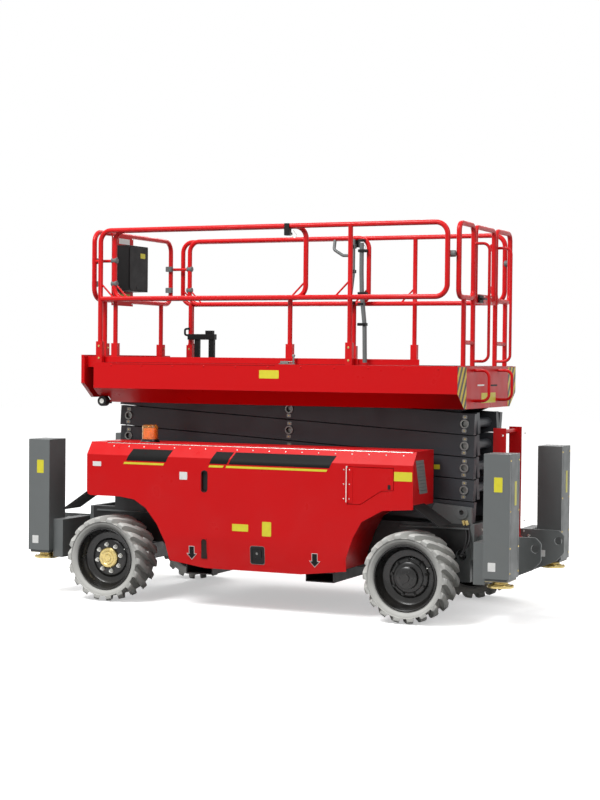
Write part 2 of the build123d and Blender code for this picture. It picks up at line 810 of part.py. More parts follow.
roller_faces = (OUTER_ARM[1] + 8, CHANNEL_OUTER - CHANNEL_WEB - 2)
top_pin_reach = OUTER_ARM[1] + 34
for number in range(1, LEVELS + 1):
    outer_pins, inner_pins = arm_rows(number)
    with BuildPart() as outer_arm:
        arm_beams(OUTER_ARM, outer_pins[0][1], -1, arm_outline)
        for pin_x, pin_z in outer_pins:
            bottom_pin = (pin_x, pin_z) == (PIN_REAR, level(0))
            bore = (FIXED_PIN_RADIUS if bottom_pin else PIN_RADIUS) + PIN_FIT
            if (pin_x, pin_z) == (PIN_FRONT, level(LEVELS)):
                continue
            for side in SIDES.values():
                through = between(side, OUTER_ARM[0] - 1, OUTER_ARM[1] + 1)
                cross_pin(pin_x, pin_z, bore, *through, mode=Mode.SUBTRACT)
        if number == LEVELS:
            for side in SIDES.values():
                cross_pin(*outer_pins[0], PIN_RADIUS, *between(side, OUTER_ARM[1], roller_faces[1]))
                cross_pin(*outer_pins[0], SLIDER_HEIGHT / 2, *between(side, *roller_faces))
    save(outer_arm, f"outer_arm_{number}")

    with BuildPart() as inner_arm:
        arm_beams(INNER_ARM, inner_pins[0][1], 1, nosed_outline if number == LEVELS else arm_outline)
        # Cross tubes tie the beams and carry the outer arms on their ends.
        for pin_x, pin_z in inner_pins:
            reach = PIN_END
            if (pin_x, pin_z) == (PIN_FRONT, level(0)):
                reach = roller_faces[1]
                for side in SIDES.values():
                    cross_pin(pin_x, pin_z, SLIDER_HEIGHT / 2, *between(side, *roller_faces))
            if (pin_x, pin_z) == (PIN_REAR, level(LEVELS)):
                reach = top_pin_reach
            cross_pin(pin_x, pin_z, PIN_RADIUS, -reach, reach)
            cross_pin(pin_x, pin_z, PIN_BORE, -reach - 1, reach + 1, mode=Mode.SUBTRACT)
        if number == 2:
            # The front tube is cut away between two lugs that take the cylinder's rod.
            pin_x, pin_z = inner_pins[0]
            head_inner = EYE_WIDTH / 2 + LUG_CLEARANCE
            block(
                (pin_x - PIN_RADIUS - 1, pin_x + PIN_RADIUS + 1),
                (-head_inner, head_inner),
                (pin_z - PIN_RADIUS - 1, pin_z + PIN_RADIUS + 1),
                mode=Mode.SUBTRACT,
            )
            lug = [(-48, -40), (30, -48), (105, 70), (100, 112), (55, 112), (-52, 40)]
            for side in SIDES.values():
                slab(
                    [(pin_x + x, pin_z + z) for x, z in lug],
                    *between(side, head_inner, head_inner + LUG_THICKNESS),
                )
            cross_pin(pin_x + 76, pin_z + 86, TIE_RADIUS, -INNER_ARM[0], INNER_ARM[0])
    save(inner_arm, f"inner_arm_{number}")

# ---------------------------------------------------------------- lift cylinder
head_x, head_z = PIN_FRONT, level(1)
cylinder_length = math.hypot(head_x - foot_x, head_z - foot_z)
cylinder_axis = Vector((head_x - foot_x) / cylinder_length, 0, (head_z - foot_z) / cylinder_length)


def along_cylinder(distance):
    """Plane across the lift cylinder at a distance from its foot pin."""
    return Plane(Vector(foot_x, 0, foot_z) + cylinder_axis * distance, z_dir=cylinder_axis)


with BuildPart() as barrel:
    with BuildSketch(along_cylinder(EYE_RADIUS * 0.6)):
        Circle(BARREL_RADIUS)
    extrude(amount=BARREL_LENGTH - EYE_RADIUS * 0.6)
    cross_pin(foot_x, foot_z, EYE_RADIUS, -FOOT_WIDTH / 2, FOOT_WIDTH / 2)
    with BuildSketch(along_cylinder(150)):
        Circle(ROD_RADIUS + SPINDLE_FIT)
    extrude(amount=BARREL_LENGTH, mode=Mode.SUBTRACT)
    eye_half = FOOT_WIDTH / 2 + 1
    cross_pin(foot_x, foot_z, FOOT_PIN + SPINDLE_FIT, -eye_half, eye_half, mode=Mode.SUBTRACT)
save(barrel, "lift_cylinder_barrel")

with BuildPart() as rod:
    with BuildSketch(along_cylinder(200)):
        Circle(ROD_RADIUS)
    extrude(amount=cylinder_length - 200)
    cross_pin(head_x, head_z, EYE_RADIUS - 4, -EYE_WIDTH / 2, EYE_WIDTH / 2)
save(rod, "lift_cylinder_rod")

# ---------------------------------------------------------------- platform
# Section of a platform side beam: upright face, folded in along its lower edge.
beam_section = [
    (DECK_HALF_WIDTH, DECK_BEAM_TOP),
    (DECK_HALF_WIDTH, DECK_FACE_BOTTOM),
    (DECK_HALF_WIDTH - DECK_CHAMFER, DECK_BOTTOM),
    (DECK_HALF_WIDTH - DECK_CHAMFER - 60, DECK_BOTTOM),
    (DECK_HALF_WIDTH - DECK_CHAMFER - 60, DECK_BOTTOM + DECK_SHEET),
    (DECK_HALF_WIDTH - DECK_CHAMFER - 3, DECK_BOTTOM + DECK_SHEET),
    (DECK_HALF_WIDTH - DECK_SHEET, DECK_FACE_BOTTOM + 3),
    (DECK_HALF_WIDTH - DECK_SHEET, DECK_BEAM_TOP - DECK_SHEET),
    (DECK_HALF_WIDTH - DECK_BEAM_WIDTH, DECK_BEAM_TOP - DECK_SHEET),
    (DECK_HALF_WIDTH - DECK_BEAM_WIDTH, DECK_BEAM_TOP),
]
deck_channel_front = PIN_FRONT - SLIDER_LENGTH / 2 - 10
top_channel_low = level(LEVELS) - SLIDER_HEIGHT / 2 - SLIDER_CLEARANCE
top_channel_high = level(LEVELS) + SLIDER_HEIGHT / 2 + SLIDER_CLEARANCE
JOIST_TOP = DECK_TOP - DECK_SHEET
JOIST_BOTTOM = DECK_TOP - 100.0


def end_plate(x_low, x_high, half_width, top, fold, bottom, chamfer):
    """Add an upright plate across the machine with its lower corners cut off."""
    girder(
        [
            (-half_width, top),
            (-half_width, fold),
            (-half_width + chamfer, bottom),
            (half_width - chamfer, bottom),
            (half_width, fold),
            (half_width, top),
        ],
        x_low,
        x_high,
    )


BUFFER_RADIUS = 40.0
buffer_x, buffer_z = DECK_FRONT + 36, DECK_BOTTOM + 7
buffer_inner = DECK_HALF_WIDTH - 131
with BuildPart() as platform_frame:
    for side in SIDES.values():
        girder([(side * y, z) for y, z in beam_section], DECK_FRONT, DECK_REAR)
    end_plate(
        DECK_REAR - DECK_SHEET,
        DECK_REAR,
        DECK_HALF_WIDTH,
        DECK_BEAM_TOP,
        DECK_FACE_BOTTOM,
        DECK_BOTTOM,
        DECK_CHAMFER,
    )
    inside_beams = (-DECK_HALF_WIDTH + 4, DECK_HALF_WIDTH - 4)
    block((DECK_FRONT, DECK_REAR), inside_beams, (JOIST_TOP, DECK_TOP))
    block((DECK_FRONT, DECK_FRONT + 60), inside_beams, (JOIST_BOTTOM, DECK_TOP))
    for joist_x in range(-1000, 1501, 500):
        block((joist_x - 25, joist_x + 25), inside_beams, (JOIST_BOTTOM, DECK_TOP))
    for side in SIDES.values():
        channel_rear = deck_channel_front + CHANNEL_REACH
        c_channel(side, top_channel_low, top_channel_high, deck_channel_front, channel_rear)
        # Hanger between the channel, or the fixed pin's plate, and the joists.
        block(
            (deck_channel_front, deck_channel_front + CHANNEL_REACH),
            between(side, OUTER_ARM[1] + 30, CHANNEL_OUTER),
            (top_channel_high + CHANNEL_FLANGE, JOIST_TOP),
        )
        slab(
            [
                (PIN_REAR - 120, JOIST_TOP),
                (DECK_REAR - DECK_SHEET, JOIST_TOP),
                (DECK_REAR - DECK_SHEET, level(LEVELS) - 40),
                (PIN_REAR - 40, level(LEVELS) - 46),
            ],
            *between(side, OUTER_ARM[1] + 10, OUTER_ARM[1] + 30),
        )
        cross_pin(
            PIN_REAR,
            level(LEVELS),
            PIN_RADIUS + PIN_FIT,
            *between(side, OUTER_ARM[1] + 9, OUTER_ARM[1] + 31),
            mode=Mode.SUBTRACT,
        )
    # Notches for the buffers in the lower corners of the side beams.
    for side in SIDES.values():
        block(
            (buffer_x - BUFFER_RADIUS - 8, buffer_x + BUFFER_RADIUS + 8),
            between(side, buffer_inner - 8, buffer_inner + 72),
            (DECK_BOTTOM - 5, buffer_z + BUFFER_RADIUS + 8),
            mode=Mode.SUBTRACT,
        )
save(platform_frame, "platform_frame")

# Round rubber buffers stand under the front corners on their plates.
with BuildPart() as landing_buffers:
    for side in SIDES.values():
        cross_pin(buffer_x, buffer_z, BUFFER_RADIUS, *between(side, buffer_inner, buffer_inner + 64))
        block(
            (buffer_x - 22, buffer_x + 22),
            between(side, DECK_HALF_WIDTH - DECK_CHAMFER - 40, buffer_inner + 4),
            (buffer_z - 20, DECK_BOTTOM),
        )
save(landing_buffers, "landing_buffers")

# ---------------------------------------------------------------- extension deck
with BuildPart() as extension_deck:
    end_plate(
        EXTENSION_FRONT,
        EXTENSION_FRONT + 30,
        DECK_HALF_WIDTH,
        TOE_BOARD_TOP + 12,
        DECK_TOP - 120,
        DECK_TOP - 233,
        DECK_CHAMFER,
    )
    block(
        (EXTENSION_FRONT + 30, EXTENSION_REAR),
        (-EXTENSION_HALF_WIDTH, EXTENSION_HALF_WIDTH),
        (DECK_TOP + 6, EXTENSION_DECK),
    )
    for side in SIDES.values():
        block(
            (EXTENSION_FRONT + 30, EXTENSION_REAR),
            between(side, EXTENSION_HALF_WIDTH - 8, EXTENSION_HALF_WIDTH),
            (DECK_TOP + 6, TOE_BOARD_TOP),
        )
        # Runners that slide on the main deck.
        block(
            (EXTENSION_REAR - 200, EXTENSION_REAR - 50),
            between(side, 560, 620),
            (DECK_TOP + SEAT_GAP, DECK_TOP + 6),
        )
        block(
            (DECK_FRONT + 5, DECK_FRONT + 155),
            between(side, 560, 620),
            (DECK_TOP + SEAT_GAP, DECK_TOP + 6),
        )
save(extension_deck, "extension_deck")

# ---------------------------------------------------------------- guardrails
rail_y = DECK_HALF_WIDTH - DECK_BEAM_WIDTH / 2
RAIL_FRONT = -1400.0
RAIL_REAR = 1465.0
POST_X = 715.0
LOW_POST_X = -1310.0
socket_inner = DECK_HALF_WIDTH - DECK_BEAM_WIDTH


def post(x, y, z_low, z_high):
    """Add a straight post."""
    tube([(x, y, z_low), (x, y, z_high)], TUBE - 1)


def socket(x, y_low, y_high, base):
    """Add the square socket that a post is pinned in."""
    block((x - SOCKET_HALF, x + SOCKET_HALF), (y_low, y_high), (base, base + SOCKET_HEIGHT))


def brace(x, y, way):
    """Add a thin rod from a post down to the middle rail."""
    tube(
        [(x, y, RAIL_MIDDLE + BRACE_REACH + 10), (x + way * (BRACE_REACH + 10), y, RAIL_MIDDLE)],
        BRACE_RADIUS,
    )


for side_name, side in SIDES.items():
    with BuildPart() as guardrail:
        y = side * rail_y
        if side_name == "left":
            tube(
                [
                    (POST_X, y, RAIL_TOP),
                    (RAIL_FRONT, y, RAIL_TOP),
                    (RAIL_FRONT, y, DECK_BEAM_TOP),
                ],
                TUBE,
                bends=RAIL_BEND,
            )
            tube(
                [
                    (POST_X, y, RAIL_TOP),
                    (RAIL_REAR, y, RAIL_TOP),
                    (RAIL_REAR, y, RAIL_MIDDLE),
                    (RAIL_FRONT, y, RAIL_MIDDLE),
                ],
                TUBE,
                bends=RAIL_BEND,
            )
            socket_places = (RAIL_FRONT, POST_X)
        else:
            tube_frame(
                [
                    (RAIL_REAR, y, RAIL_MIDDLE),
                    (RAIL_FRONT, y, RAIL_MIDDLE),
                    (RAIL_FRONT, y, RAIL_TOP),
                    (RAIL_REAR, y, RAIL_TOP),
                ],
                TUBE,
                RAIL_BEND,
            )
            post(LOW_POST_X, y, DECK_BEAM_TOP, RAIL_MIDDLE)
            socket_places = (LOW_POST_X, POST_X)
        post(POST_X, y, DECK_BEAM_TOP, RAIL_TOP)
        brace(POST_X, y, -1)
        brace(RAIL_FRONT, y, 1)
        for socket_x in socket_places:
            socket(socket_x, *between(side, socket_inner, DECK_HALF_WIDTH), DECK_BEAM_TOP)
    save(guardrail, f"guardrail_{side_name}")

END_X = DECK_REAR - DECK_SHEET - TUBE - SEAT_GAP
END_LOOPS = ((-617.0, -290.0, -501.0), (601.0, 240.0, 492.0))  # outer side, inner post, low post
END_LOW_RAIL = DECK_TOP + 215.0
GATE_HINGE_X = END_X - 26
GATE_POST = END_LOOPS[1][1]
GATE_HINGE_Y = GATE_POST - 27
GATE_LUGS = (RAIL_MIDDLE + 60, RAIL_MIDDLE + 380)
with BuildPart() as end_guardrails:
    for y_outer, y_inner, y_low in END_LOOPS:
        tube_frame(
            [
                (END_X, y_inner, RAIL_TOP),
                (END_X, y_outer, RAIL_TOP),
                (END_X, y_outer, RAIL_MIDDLE),
                (END_X, y_inner, RAIL_MIDDLE),
            ],
            TUBE,
            bends=60,
        )
        post(END_X, y_inner, DECK_TOP, RAIL_MIDDLE + RAIL_BEND)
        post(END_X, y_low, DECK_TOP, RAIL_MIDDLE)
        tube([(END_X, y_low, END_LOW_RAIL), (END_X, y_inner, END_LOW_RAIL)], TUBE - 3)
        # Hand hold on the post, and the one below it on the end plate.
        tube(
            [
                (END_X, y_inner, RAIL_TOP - 131),
                (HANDLE_REACH, y_inner, RAIL_TOP - 131),
                (HANDLE_REACH, y_inner, DECK_TOP + 80),
                (END_X, y_inner, DECK_TOP + 80),
            ],
            HANDLE_TUBE,
            bends=50,
        )
        plate_y = y_inner - 30 if y_inner < 0 else y_inner
        tube(
            [
                (DECK_REAR, plate_y, DECK_TOP + 12),
                (HANDLE_REACH + 18, plate_y, DECK_TOP + 12),
                (HANDLE_REACH + 18, plate_y, DECK_TOP - 210),
                (DECK_REAR, plate_y, DECK_TOP - 210),
            ],
            HANDLE_TUBE,
            bends=50,
        )
    # Lugs under the gate's hinge barrels.
    for lug_z in GATE_LUGS:
        lug_height = (lug_z - 5, lug_z + 5)
        block((GATE_HINGE_X - 8, GATE_HINGE_X + 8), (GATE_HINGE_Y - 8, GATE_POST), lug_height)
        block((GATE_HINGE_X - 8, END_X), (GATE_POST - 15, GATE_POST), lug_height)
save(end_guardrails, "end_guardrails")

GATE_LEFT = -245.0
GATE_RIGHT = GATE_POST - TUBE * 2 - 8
GATE_PLATE = 35.0
with BuildPart() as entry_gate:
    tube(
        [
            (END_X, GATE_LEFT, RAIL_MIDDLE),
            (END_X, GATE_LEFT, RAIL_TOP - 5),
            (END_X, GATE_RIGHT, RAIL_TOP - 5),
            (END_X, GATE_RIGHT, RAIL_MIDDLE),
        ],
        TUBE - 1,
        bends=45,
    )
    block(
        (END_X - 12, END_X + 12),
        (GATE_LEFT - TUBE + 1, GATE_RIGHT + TUBE - 1),
        (RAIL_MIDDLE - GATE_PLATE, RAIL_MIDDLE + GATE_PLATE),
    )
    for lug_z in GATE_LUGS:
        upright(GATE_HINGE_X, GATE_HINGE_Y, 7, lug_z + 5 + SEAT_GAP, lug_z + 50)
        block((GATE_HINGE_X - 6, END_X - 8), (GATE_RIGHT, GATE_HINGE_Y), (lug_z + 15, lug_z + 45))
save(entry_gate, "entry_gate")

EXT_END_X = -1490.0
EXT_LOOP = (-1306.0, 335.0)
EXT_POSTS = (-1295.0, 210.0)
EXT_END_POST = 458.0
extension_rail_y = EXTENSION_HALF_WIDTH - DECK_SHEET - TUBE - SEAT_GAP
with BuildPart() as extension_guardrail:
    for side in SIDES.values():
        y = side * extension_rail_y
        tube_frame(
            [
                (EXT_LOOP[0], y, RAIL_TOP),
                (EXT_LOOP[1], y, RAIL_TOP),
                (EXT_LOOP[1], y, RAIL_MIDDLE),
                (EXT_LOOP[0], y, RAIL_MIDDLE),
            ],
            TUBE,
            RAIL_BEND,
        )
        for post_x in EXT_POSTS:
            post(post_x, y, EXTENSION_DECK, RAIL_MIDDLE)
            socket(post_x, *between(side, extension_rail_y - 22, extension_rail_y + TUBE), EXTENSION_DECK)
        brace(EXT_LOOP[1], y, -1)
        brace(EXT_LOOP[0], y, 1)
        # Coupling between the side loop and the front one.
        tube([(EXT_LOOP[0], y, RAIL_TOP - 235), (EXT_END_X, y, RAIL_TOP - 235)], 12)
        post(EXT_END_X, side * EXT_END_POST, EXTENSION_DECK, RAIL_MIDDLE)
        seat = between(side, EXT_END_POST - SOCKET_HALF, EXT_END_POST + SOCKET_HALF)
        socket(EXT_END_X, *seat, EXTENSION_DECK)
    tube_frame(
        [
            (EXT_END_X, -extension_rail_y, RAIL_TOP),
            (EXT_END_X, extension_rail_y, RAIL_TOP),
            (EXT_END_X, extension_rail_y, RAIL_MIDDLE),
            (EXT_END_X, -extension_rail_y, RAIL_MIDDLE),
        ],
        TUBE,
        RAIL_BEND,
    )
save(extension_guardrail, "extension_guardrail")

with BuildPart() as control_panel:
    block((EXT_END_X + TUBE, EXT_END_X + TUBE + 6), (-395, -60), (RAIL_MIDDLE - 40, RAIL_TOP + 5))
save(control_panel, "control_panel")
with BuildPart() as control_box:
    block((EXT_END_X + TUBE + 6, EXT_END_X + TUBE + 150), (-383, -69), (RAIL_MIDDLE + 74, RAIL_TOP - 92))
save(control_box, "control_box")

# ---------------------------------------------------------------- ladder
LADDER_TOP = 1390.0
LADDER_X = 1668.0
LADDER_BOTTOM = 545.0
with BuildPart() as ladder:
    for side in SIDES.values():
        block((LADDER_X, LADDER_X + 97), between(side, 190, 200), (LADDER_BOTTOM, LADDER_TOP))
        # Foot angles bolted to the tie-down plates.
        lug_height = (LADDER_BOTTOM, LADDER_BOTTOM + 8)
        block((LADDER_X + 20, LADDER_X + 80), between(side, 200, LUG_PLATE_Y), lug_height)
    for rung in range(3):
        rung_z = 1360 - 270 * rung
        cross_pin(LADDER_X + 48, rung_z, 16, -190, 190)
save(ladder, "ladder")
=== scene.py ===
"""Finishes, fittings and stage of a rough-terrain scissor lift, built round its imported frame."""

import json
import logging
import math
from dataclasses import dataclass, field
from enum import Enum
from typing import Callable, Sequence

import bmesh
import bpy
from mathutils import Matrix, Vector

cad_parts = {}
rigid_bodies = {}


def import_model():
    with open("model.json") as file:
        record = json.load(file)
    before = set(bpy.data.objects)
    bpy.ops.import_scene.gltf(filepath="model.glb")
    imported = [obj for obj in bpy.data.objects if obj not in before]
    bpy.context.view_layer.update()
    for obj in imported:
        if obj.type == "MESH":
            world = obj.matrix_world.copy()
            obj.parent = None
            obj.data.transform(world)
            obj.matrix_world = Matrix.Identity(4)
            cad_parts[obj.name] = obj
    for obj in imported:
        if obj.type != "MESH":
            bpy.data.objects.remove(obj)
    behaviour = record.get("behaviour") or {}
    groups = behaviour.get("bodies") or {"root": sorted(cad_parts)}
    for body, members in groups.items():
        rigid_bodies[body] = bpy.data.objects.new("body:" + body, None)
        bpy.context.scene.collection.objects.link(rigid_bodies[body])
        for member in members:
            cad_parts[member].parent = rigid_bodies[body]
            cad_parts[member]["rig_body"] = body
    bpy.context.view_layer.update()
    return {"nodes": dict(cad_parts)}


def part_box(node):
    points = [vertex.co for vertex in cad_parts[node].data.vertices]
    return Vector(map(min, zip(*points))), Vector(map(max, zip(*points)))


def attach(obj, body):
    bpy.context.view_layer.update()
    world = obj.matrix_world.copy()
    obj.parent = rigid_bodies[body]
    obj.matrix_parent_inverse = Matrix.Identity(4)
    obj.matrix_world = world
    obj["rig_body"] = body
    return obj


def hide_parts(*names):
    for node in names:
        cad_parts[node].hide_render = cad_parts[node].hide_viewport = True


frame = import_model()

log = logging.getLogger("scissor_lift")
Point = tuple[float, float, float]
Flat = tuple[float, float]
Table = tuple[tuple[float, ...], ...]
Piece = bpy.types.Object
Socket = bpy.types.NodeSocket
Node = bpy.types.Node
Mesh = bmesh.types.BMesh
CREASE = math.radians(38.0)  # the turn from which a laid row's edges stay sharp
SMOOTH_CREASE = 34.0  # the same in degrees for a node with eased edges
PLAIN_CREASE = 50.0  # the same for a node without
ON_AXIS = 1e-7  # a radius in metres below which a point of a turned profile lies on its axis
FILM = 0.0009  # the thickness of a label film in metres
DUST = (0.62, 0.59, 0.54)  # the screen colour of road dust
WEAR = (0.5, 0.48, 0.42)  # the screen colour of worn film
WELD = 0.00002  # how far apart in metres a node's points are merged
FLAT = 0.006  # the turn in radians under which neighbouring faces become one


# ---------------------------------------------------------------- node trees


class Graph:
    """A shader node tree that is being wired."""

    def __init__(self, tree: bpy.types.NodeTree) -> None:
        """Takes over an empty tree.

        Args:
            tree: The tree to fill.
        """
        self.tree = tree

    def add(self, kind: str, settings: dict | None = None, **values: object) -> Node:
        """Adds one node.

        Args:
            kind: The node's Blender type.
            settings: Its properties, by name.
            values: Its input values, by socket name with spaces as underscores.

        Returns:
            The new node.
        """
        node = self.tree.nodes.new(kind)
        for name, value in (settings or {}).items():
            setattr(node, name, value)
        for name, value in values.items():
            node.inputs[name.replace("_", " ")].default_value = value
        return node

    def link(self, start: Socket, end: Socket) -> None:
        """Joins an output to an input."""
        self.tree.links.new(start, end)

    def math(self, operation: str, first: object, second: object = 0.0) -> Socket:
        """Adds a sum on one or two values.

        Args:
            operation: The Math node's operation.
            first: A number or an output.
            second: A number or an output.

        Returns:
            The result's output.
        """
        node = self.add("ShaderNodeMath", {"operation": operation})
        for socket, value in zip(node.inputs, (first, second)):
            if isinstance(value, Socket):
                self.link(value, socket)
            else:
                socket.default_value = value
        return node.outputs[0]

    def mix(self, factor: Socket, low: object, high: object) -> Socket:
        """Adds a blend of two colours.

        Args:
            factor: The share of the second colour.
            low: A colour or an output.
            high: A colour or an output.

        Returns:
            The blend's output.
        """
        node = self.add("ShaderNodeMix", {"data_type": "RGBA"})
        self.link(factor, node.inputs[0])
        for socket, value in ((node.inputs[6], low), (node.inputs[7], high)):
            if isinstance(value, Socket):
                self.link(value, socket)
            else:
                socket.default_value = value
        return node.outputs[2]

    def noise(self, where: Socket, scale: float, detail: float = 3.0) -> Socket:
        """Adds a noise pattern.

        Args:
            where: The coordinates that it is read at.
            scale: Its scale, per metre.
            detail: How many octaves it has.

        Returns:
            The pattern's value.
        """
        node = self.add("ShaderNodeTexNoise", Scale=scale, Detail=detail)
        self.link(where, node.inputs["Vector"])
        return node.outputs[0]

    def spread(self, value: Socket, span: Flat, onto: Flat) -> Socket:
        """Maps a value's span onto another one, and clamps it.

        Args:
            value: The value.
            span: Its lowest and highest value.
            onto: What these become.

        Returns:
            The mapped value.
        """
        node = self.add(
            "ShaderNodeMapRange", From_Min=span[0], From_Max=span[1], To_Min=onto[0], To_Max=onto[1]
        )
        self.link(value, node.inputs[0])
        return node.outputs[0]


def linear(colour: Sequence[float], lift: float = 1.0) -> tuple[float, float, float, float]:
    """Turns a screen colour into the linear one that a shader takes.

    Args:
        colour: Red, green and blue as seen on a screen, 0 to 1.
        lift: What the linear colour is multiplied by.

    Returns:
        Linear red, green, blue and an alpha of 1.
    """
    steps = [(c / 12.92 if c <= 0.04045 else ((c + 0.055) / 1.055) ** 2.4) * lift for c in colour]
    return (min(steps[0], 1.0), min(steps[1], 1.0), min(steps[2], 1.0), 1.0)


class Texture(Enum):
    """The relief that a finish shows."""

    SMOOTH = "orange peel of sprayed paint"
    MOULDED = "fine grain of a moulded skin"
    CHEQUER = "raised chequers of a tread plate"
    MESH = "square mesh of a vent"
    BRUSHED = "fine lines of worn metal"


@dataclass(frozen=True)
class Finish:
    """One surface finish.

    Args:
        name: The material's name.
        colour: The screen colour.
        slot: The record's material slot, if it has one; not used.
        roughness: How dull it is.
        metallic: 1 for bare metal.
        coat: The weight of a clear coat.
        sheen: How strongly it mirrors its surround, 0.5 for plain paint.
        drift: How far the colour wanders over the surface.
        drift_scale: How fine that wandering is, per metre.
        grain: The strength of the relief.
        grain_scale: How fine the relief is, per metre.
        texture: The kind of relief.
        dust: How much road dust lies on it near the ground.
        dust_top: The height in metres at which the dust ends.
        second: The colour of worn or tarnished spots.
        spots: How much of the surface those cover, 0 to 1.
    """

    name: str
    colour: Point
    slot: str | None = None
    roughness: float = 0.4
    metallic: float = 0.0
    coat: float = 0.0
    sheen: float = 0.5
    drift: float = 0.05
    drift_scale: float = 2.5
    grain: float = 0.03
    grain_scale: float = 260.0
    texture: Texture = Texture.SMOOTH
    dust: float = 0.0
    dust_top: float = 0.9
    second: Point | None = None
    spots: float = 0.3

    def material(self) -> bpy.types.Material:
        """Builds the material, or finds it if it was built before.

        Returns:
            The material.
        """
        found = bpy.data.materials.get(self.name)
        if found:
            return found
        made = bpy.data.materials.new(self.name)
        made.use_nodes = True
        made.node_tree.nodes.clear()
        graph = Graph(made.node_tree)
        shader = graph.add(
            "ShaderNodeBsdfPrincipled", Metallic=self.metallic, Coat_Weight=self.coat, Coat_Roughness=0.08
        )
        shader.inputs["Specular IOR Level"].default_value = self.sheen
        where = graph.add("ShaderNodeTexCoord").outputs["Object"]
        colour = self.paint(graph, where)
        if self.dust:
            colour = self.dusted(graph, where, colour)
        graph.link(colour, shader.inputs["Base Color"])
        cloud = graph.noise(where, self.drift_scale * 5.0)
        dull = graph.spread(
            cloud, (0.3, 0.7), (max(self.roughness - 0.07, 0.03), min(self.roughness + 0.09, 1.0))
        )
        graph.link(dull, shader.inputs["Roughness"])
        bump = graph.add("ShaderNodeBump", Strength=self.grain, Distance=self.relief_depth())
        graph.link(self.relief(graph, where), bump.inputs["Height"])
        graph.link(bump.outputs[0], shader.inputs["Normal"])
        self.light(shader)
        graph.link(shader.outputs[0], graph.add("ShaderNodeOutputMaterial").inputs[0])
        return made

    def paint(self, graph: Graph, where: Socket) -> Socket:
        """Adds the colour, which wanders a little and may be spotted.

        Args:
            graph: The tree that is being wired.
            where: The object's coordinates.

        Returns:
            The colour's output.
        """
        cloud = graph.spread(graph.noise(where, self.drift_scale, 4.0), (0.3, 0.7), (0.0, 1.0))
        colour = graph.mix(
            cloud, linear(self.colour, 1.0 - self.drift), linear(self.colour, 1.0 + self.drift)
        )
        if self.second:
            patch = graph.noise(where, self.drift_scale * 9.0, 6.0)
            edge = 0.66 - 0.32 * self.spots
            colour = graph.mix(
                graph.spread(patch, (edge, edge + 0.14), (0.0, 1.0)), colour, linear(self.second)
            )
        return colour

    def dusted(self, graph: Graph, where: Socket, colour: Socket) -> Socket:
        """Lays pale dust on a colour, thickest near the ground.

        Args:
            graph: The tree that is being wired.
            where: The object's coordinates.
            colour: The clean colour.

        Returns:
            The dusted colour.
        """
        split = graph.add("ShaderNodeSeparateXYZ")
        graph.link(where, split.inputs[0])
        low = graph.spread(split.outputs[2], (0.05, self.dust_top), (1.0, 0.0))
        cloud = graph.spread(graph.noise(where, 7.0, 5.0), (0.35, 0.75), (0.25, 1.0))
        share = graph.math("MULTIPLY", graph.math("MULTIPLY", low, cloud), self.dust)
        return graph.mix(share, colour, linear(DUST))

    def relief(self, graph: Graph, where: Socket) -> Socket:
        """Adds the height that the bump reads.

        Args:
            graph: The tree that is being wired.
            where: The object's coordinates.

        Returns:
            The height's output.
        """
        if self.texture is Texture.BRUSHED:
            stretch = graph.add("ShaderNodeMapping")
            stretch.inputs["Scale"].default_value = (1.0, 1.0, 14.0)
            graph.link(where, stretch.inputs[0])
            return graph.noise(stretch.outputs[0], self.grain_scale, 2.0)
        if self.texture in (Texture.CHEQUER, Texture.MESH):
            split = graph.add("ShaderNodeSeparateXYZ")
            graph.link(where, split.inputs[0])
            turn = math.tau * self.grain_scale
            across = split.outputs[1] if self.texture is Texture.CHEQUER else split.outputs[2]
            sum_wave = graph.math(
                "SINE", graph.math("MULTIPLY", graph.math("ADD", split.outputs[0], across), turn)
            )
            gap_wave = graph.math(
                "SINE", graph.math("MULTIPLY", graph.math("SUBTRACT", split.outputs[0], across), turn)
            )
            return graph.spread(graph.math("MULTIPLY", sum_wave, gap_wave), (0.25, 0.6), (0.0, 1.0))
        return graph.noise(where, self.grain_scale, 2.0)

    def relief_depth(self) -> float:
        """Gives how deep the relief is, in metres."""
        return {Texture.CHEQUER: 0.002, Texture.MESH: 0.002}.get(self.texture, 0.0006)

    def light(self, shader: Node) -> None:
        """Leaves the shader as it is; a clear finish sets more here."""


@dataclass(frozen=True)
class Clear(Finish):
    """A clear or tinted plastic.

    Args:
        passing: The share of light that passes it.
    """

    passing: float = 0.8

    def light(self, shader: Node) -> None:
        """Lets light through the plastic."""
        shader.inputs["Transmission Weight"].default_value = self.passing
        shader.inputs["IOR"].default_value = 1.45


@dataclass(frozen=True)
class Stripes(Finish):
    """Two colours in slanting bars.

    Args:
        other: The second bar's screen colour.
        pitch: From one bar to the next of its colour, in metres.
        lean: How far each bar moves per metre, along X, Y and Z.
    """

    other: Point = (0.05, 0.05, 0.05)
    pitch: float = 0.1
    lean: Point = (0.0, 1.0, 1.0)

    def paint(self, graph: Graph, where: Socket) -> Socket:
        """Adds the bars' colour.

        Args:
            graph: The tree that is being wired.
            where: The object's coordinates.

        Returns:
            The colour's output.
        """
        along = graph.add("ShaderNodeVectorMath", {"operation": "DOT_PRODUCT"})
        graph.link(where, along.inputs[0])
        along.inputs[1].default_value = [step / self.pitch for step in self.lean]
        part = graph.math("FRACT", along.outputs["Value"])
        edge = graph.spread(part, (0.49, 0.51), (0.0, 1.0))
        cloud = graph.spread(graph.noise(where, 30.0), (0.3, 0.7), (0.0, 0.12))
        bars = graph.mix(edge, linear(self.colour), linear(self.other))
        return graph.mix(cloud, bars, linear(WEAR))


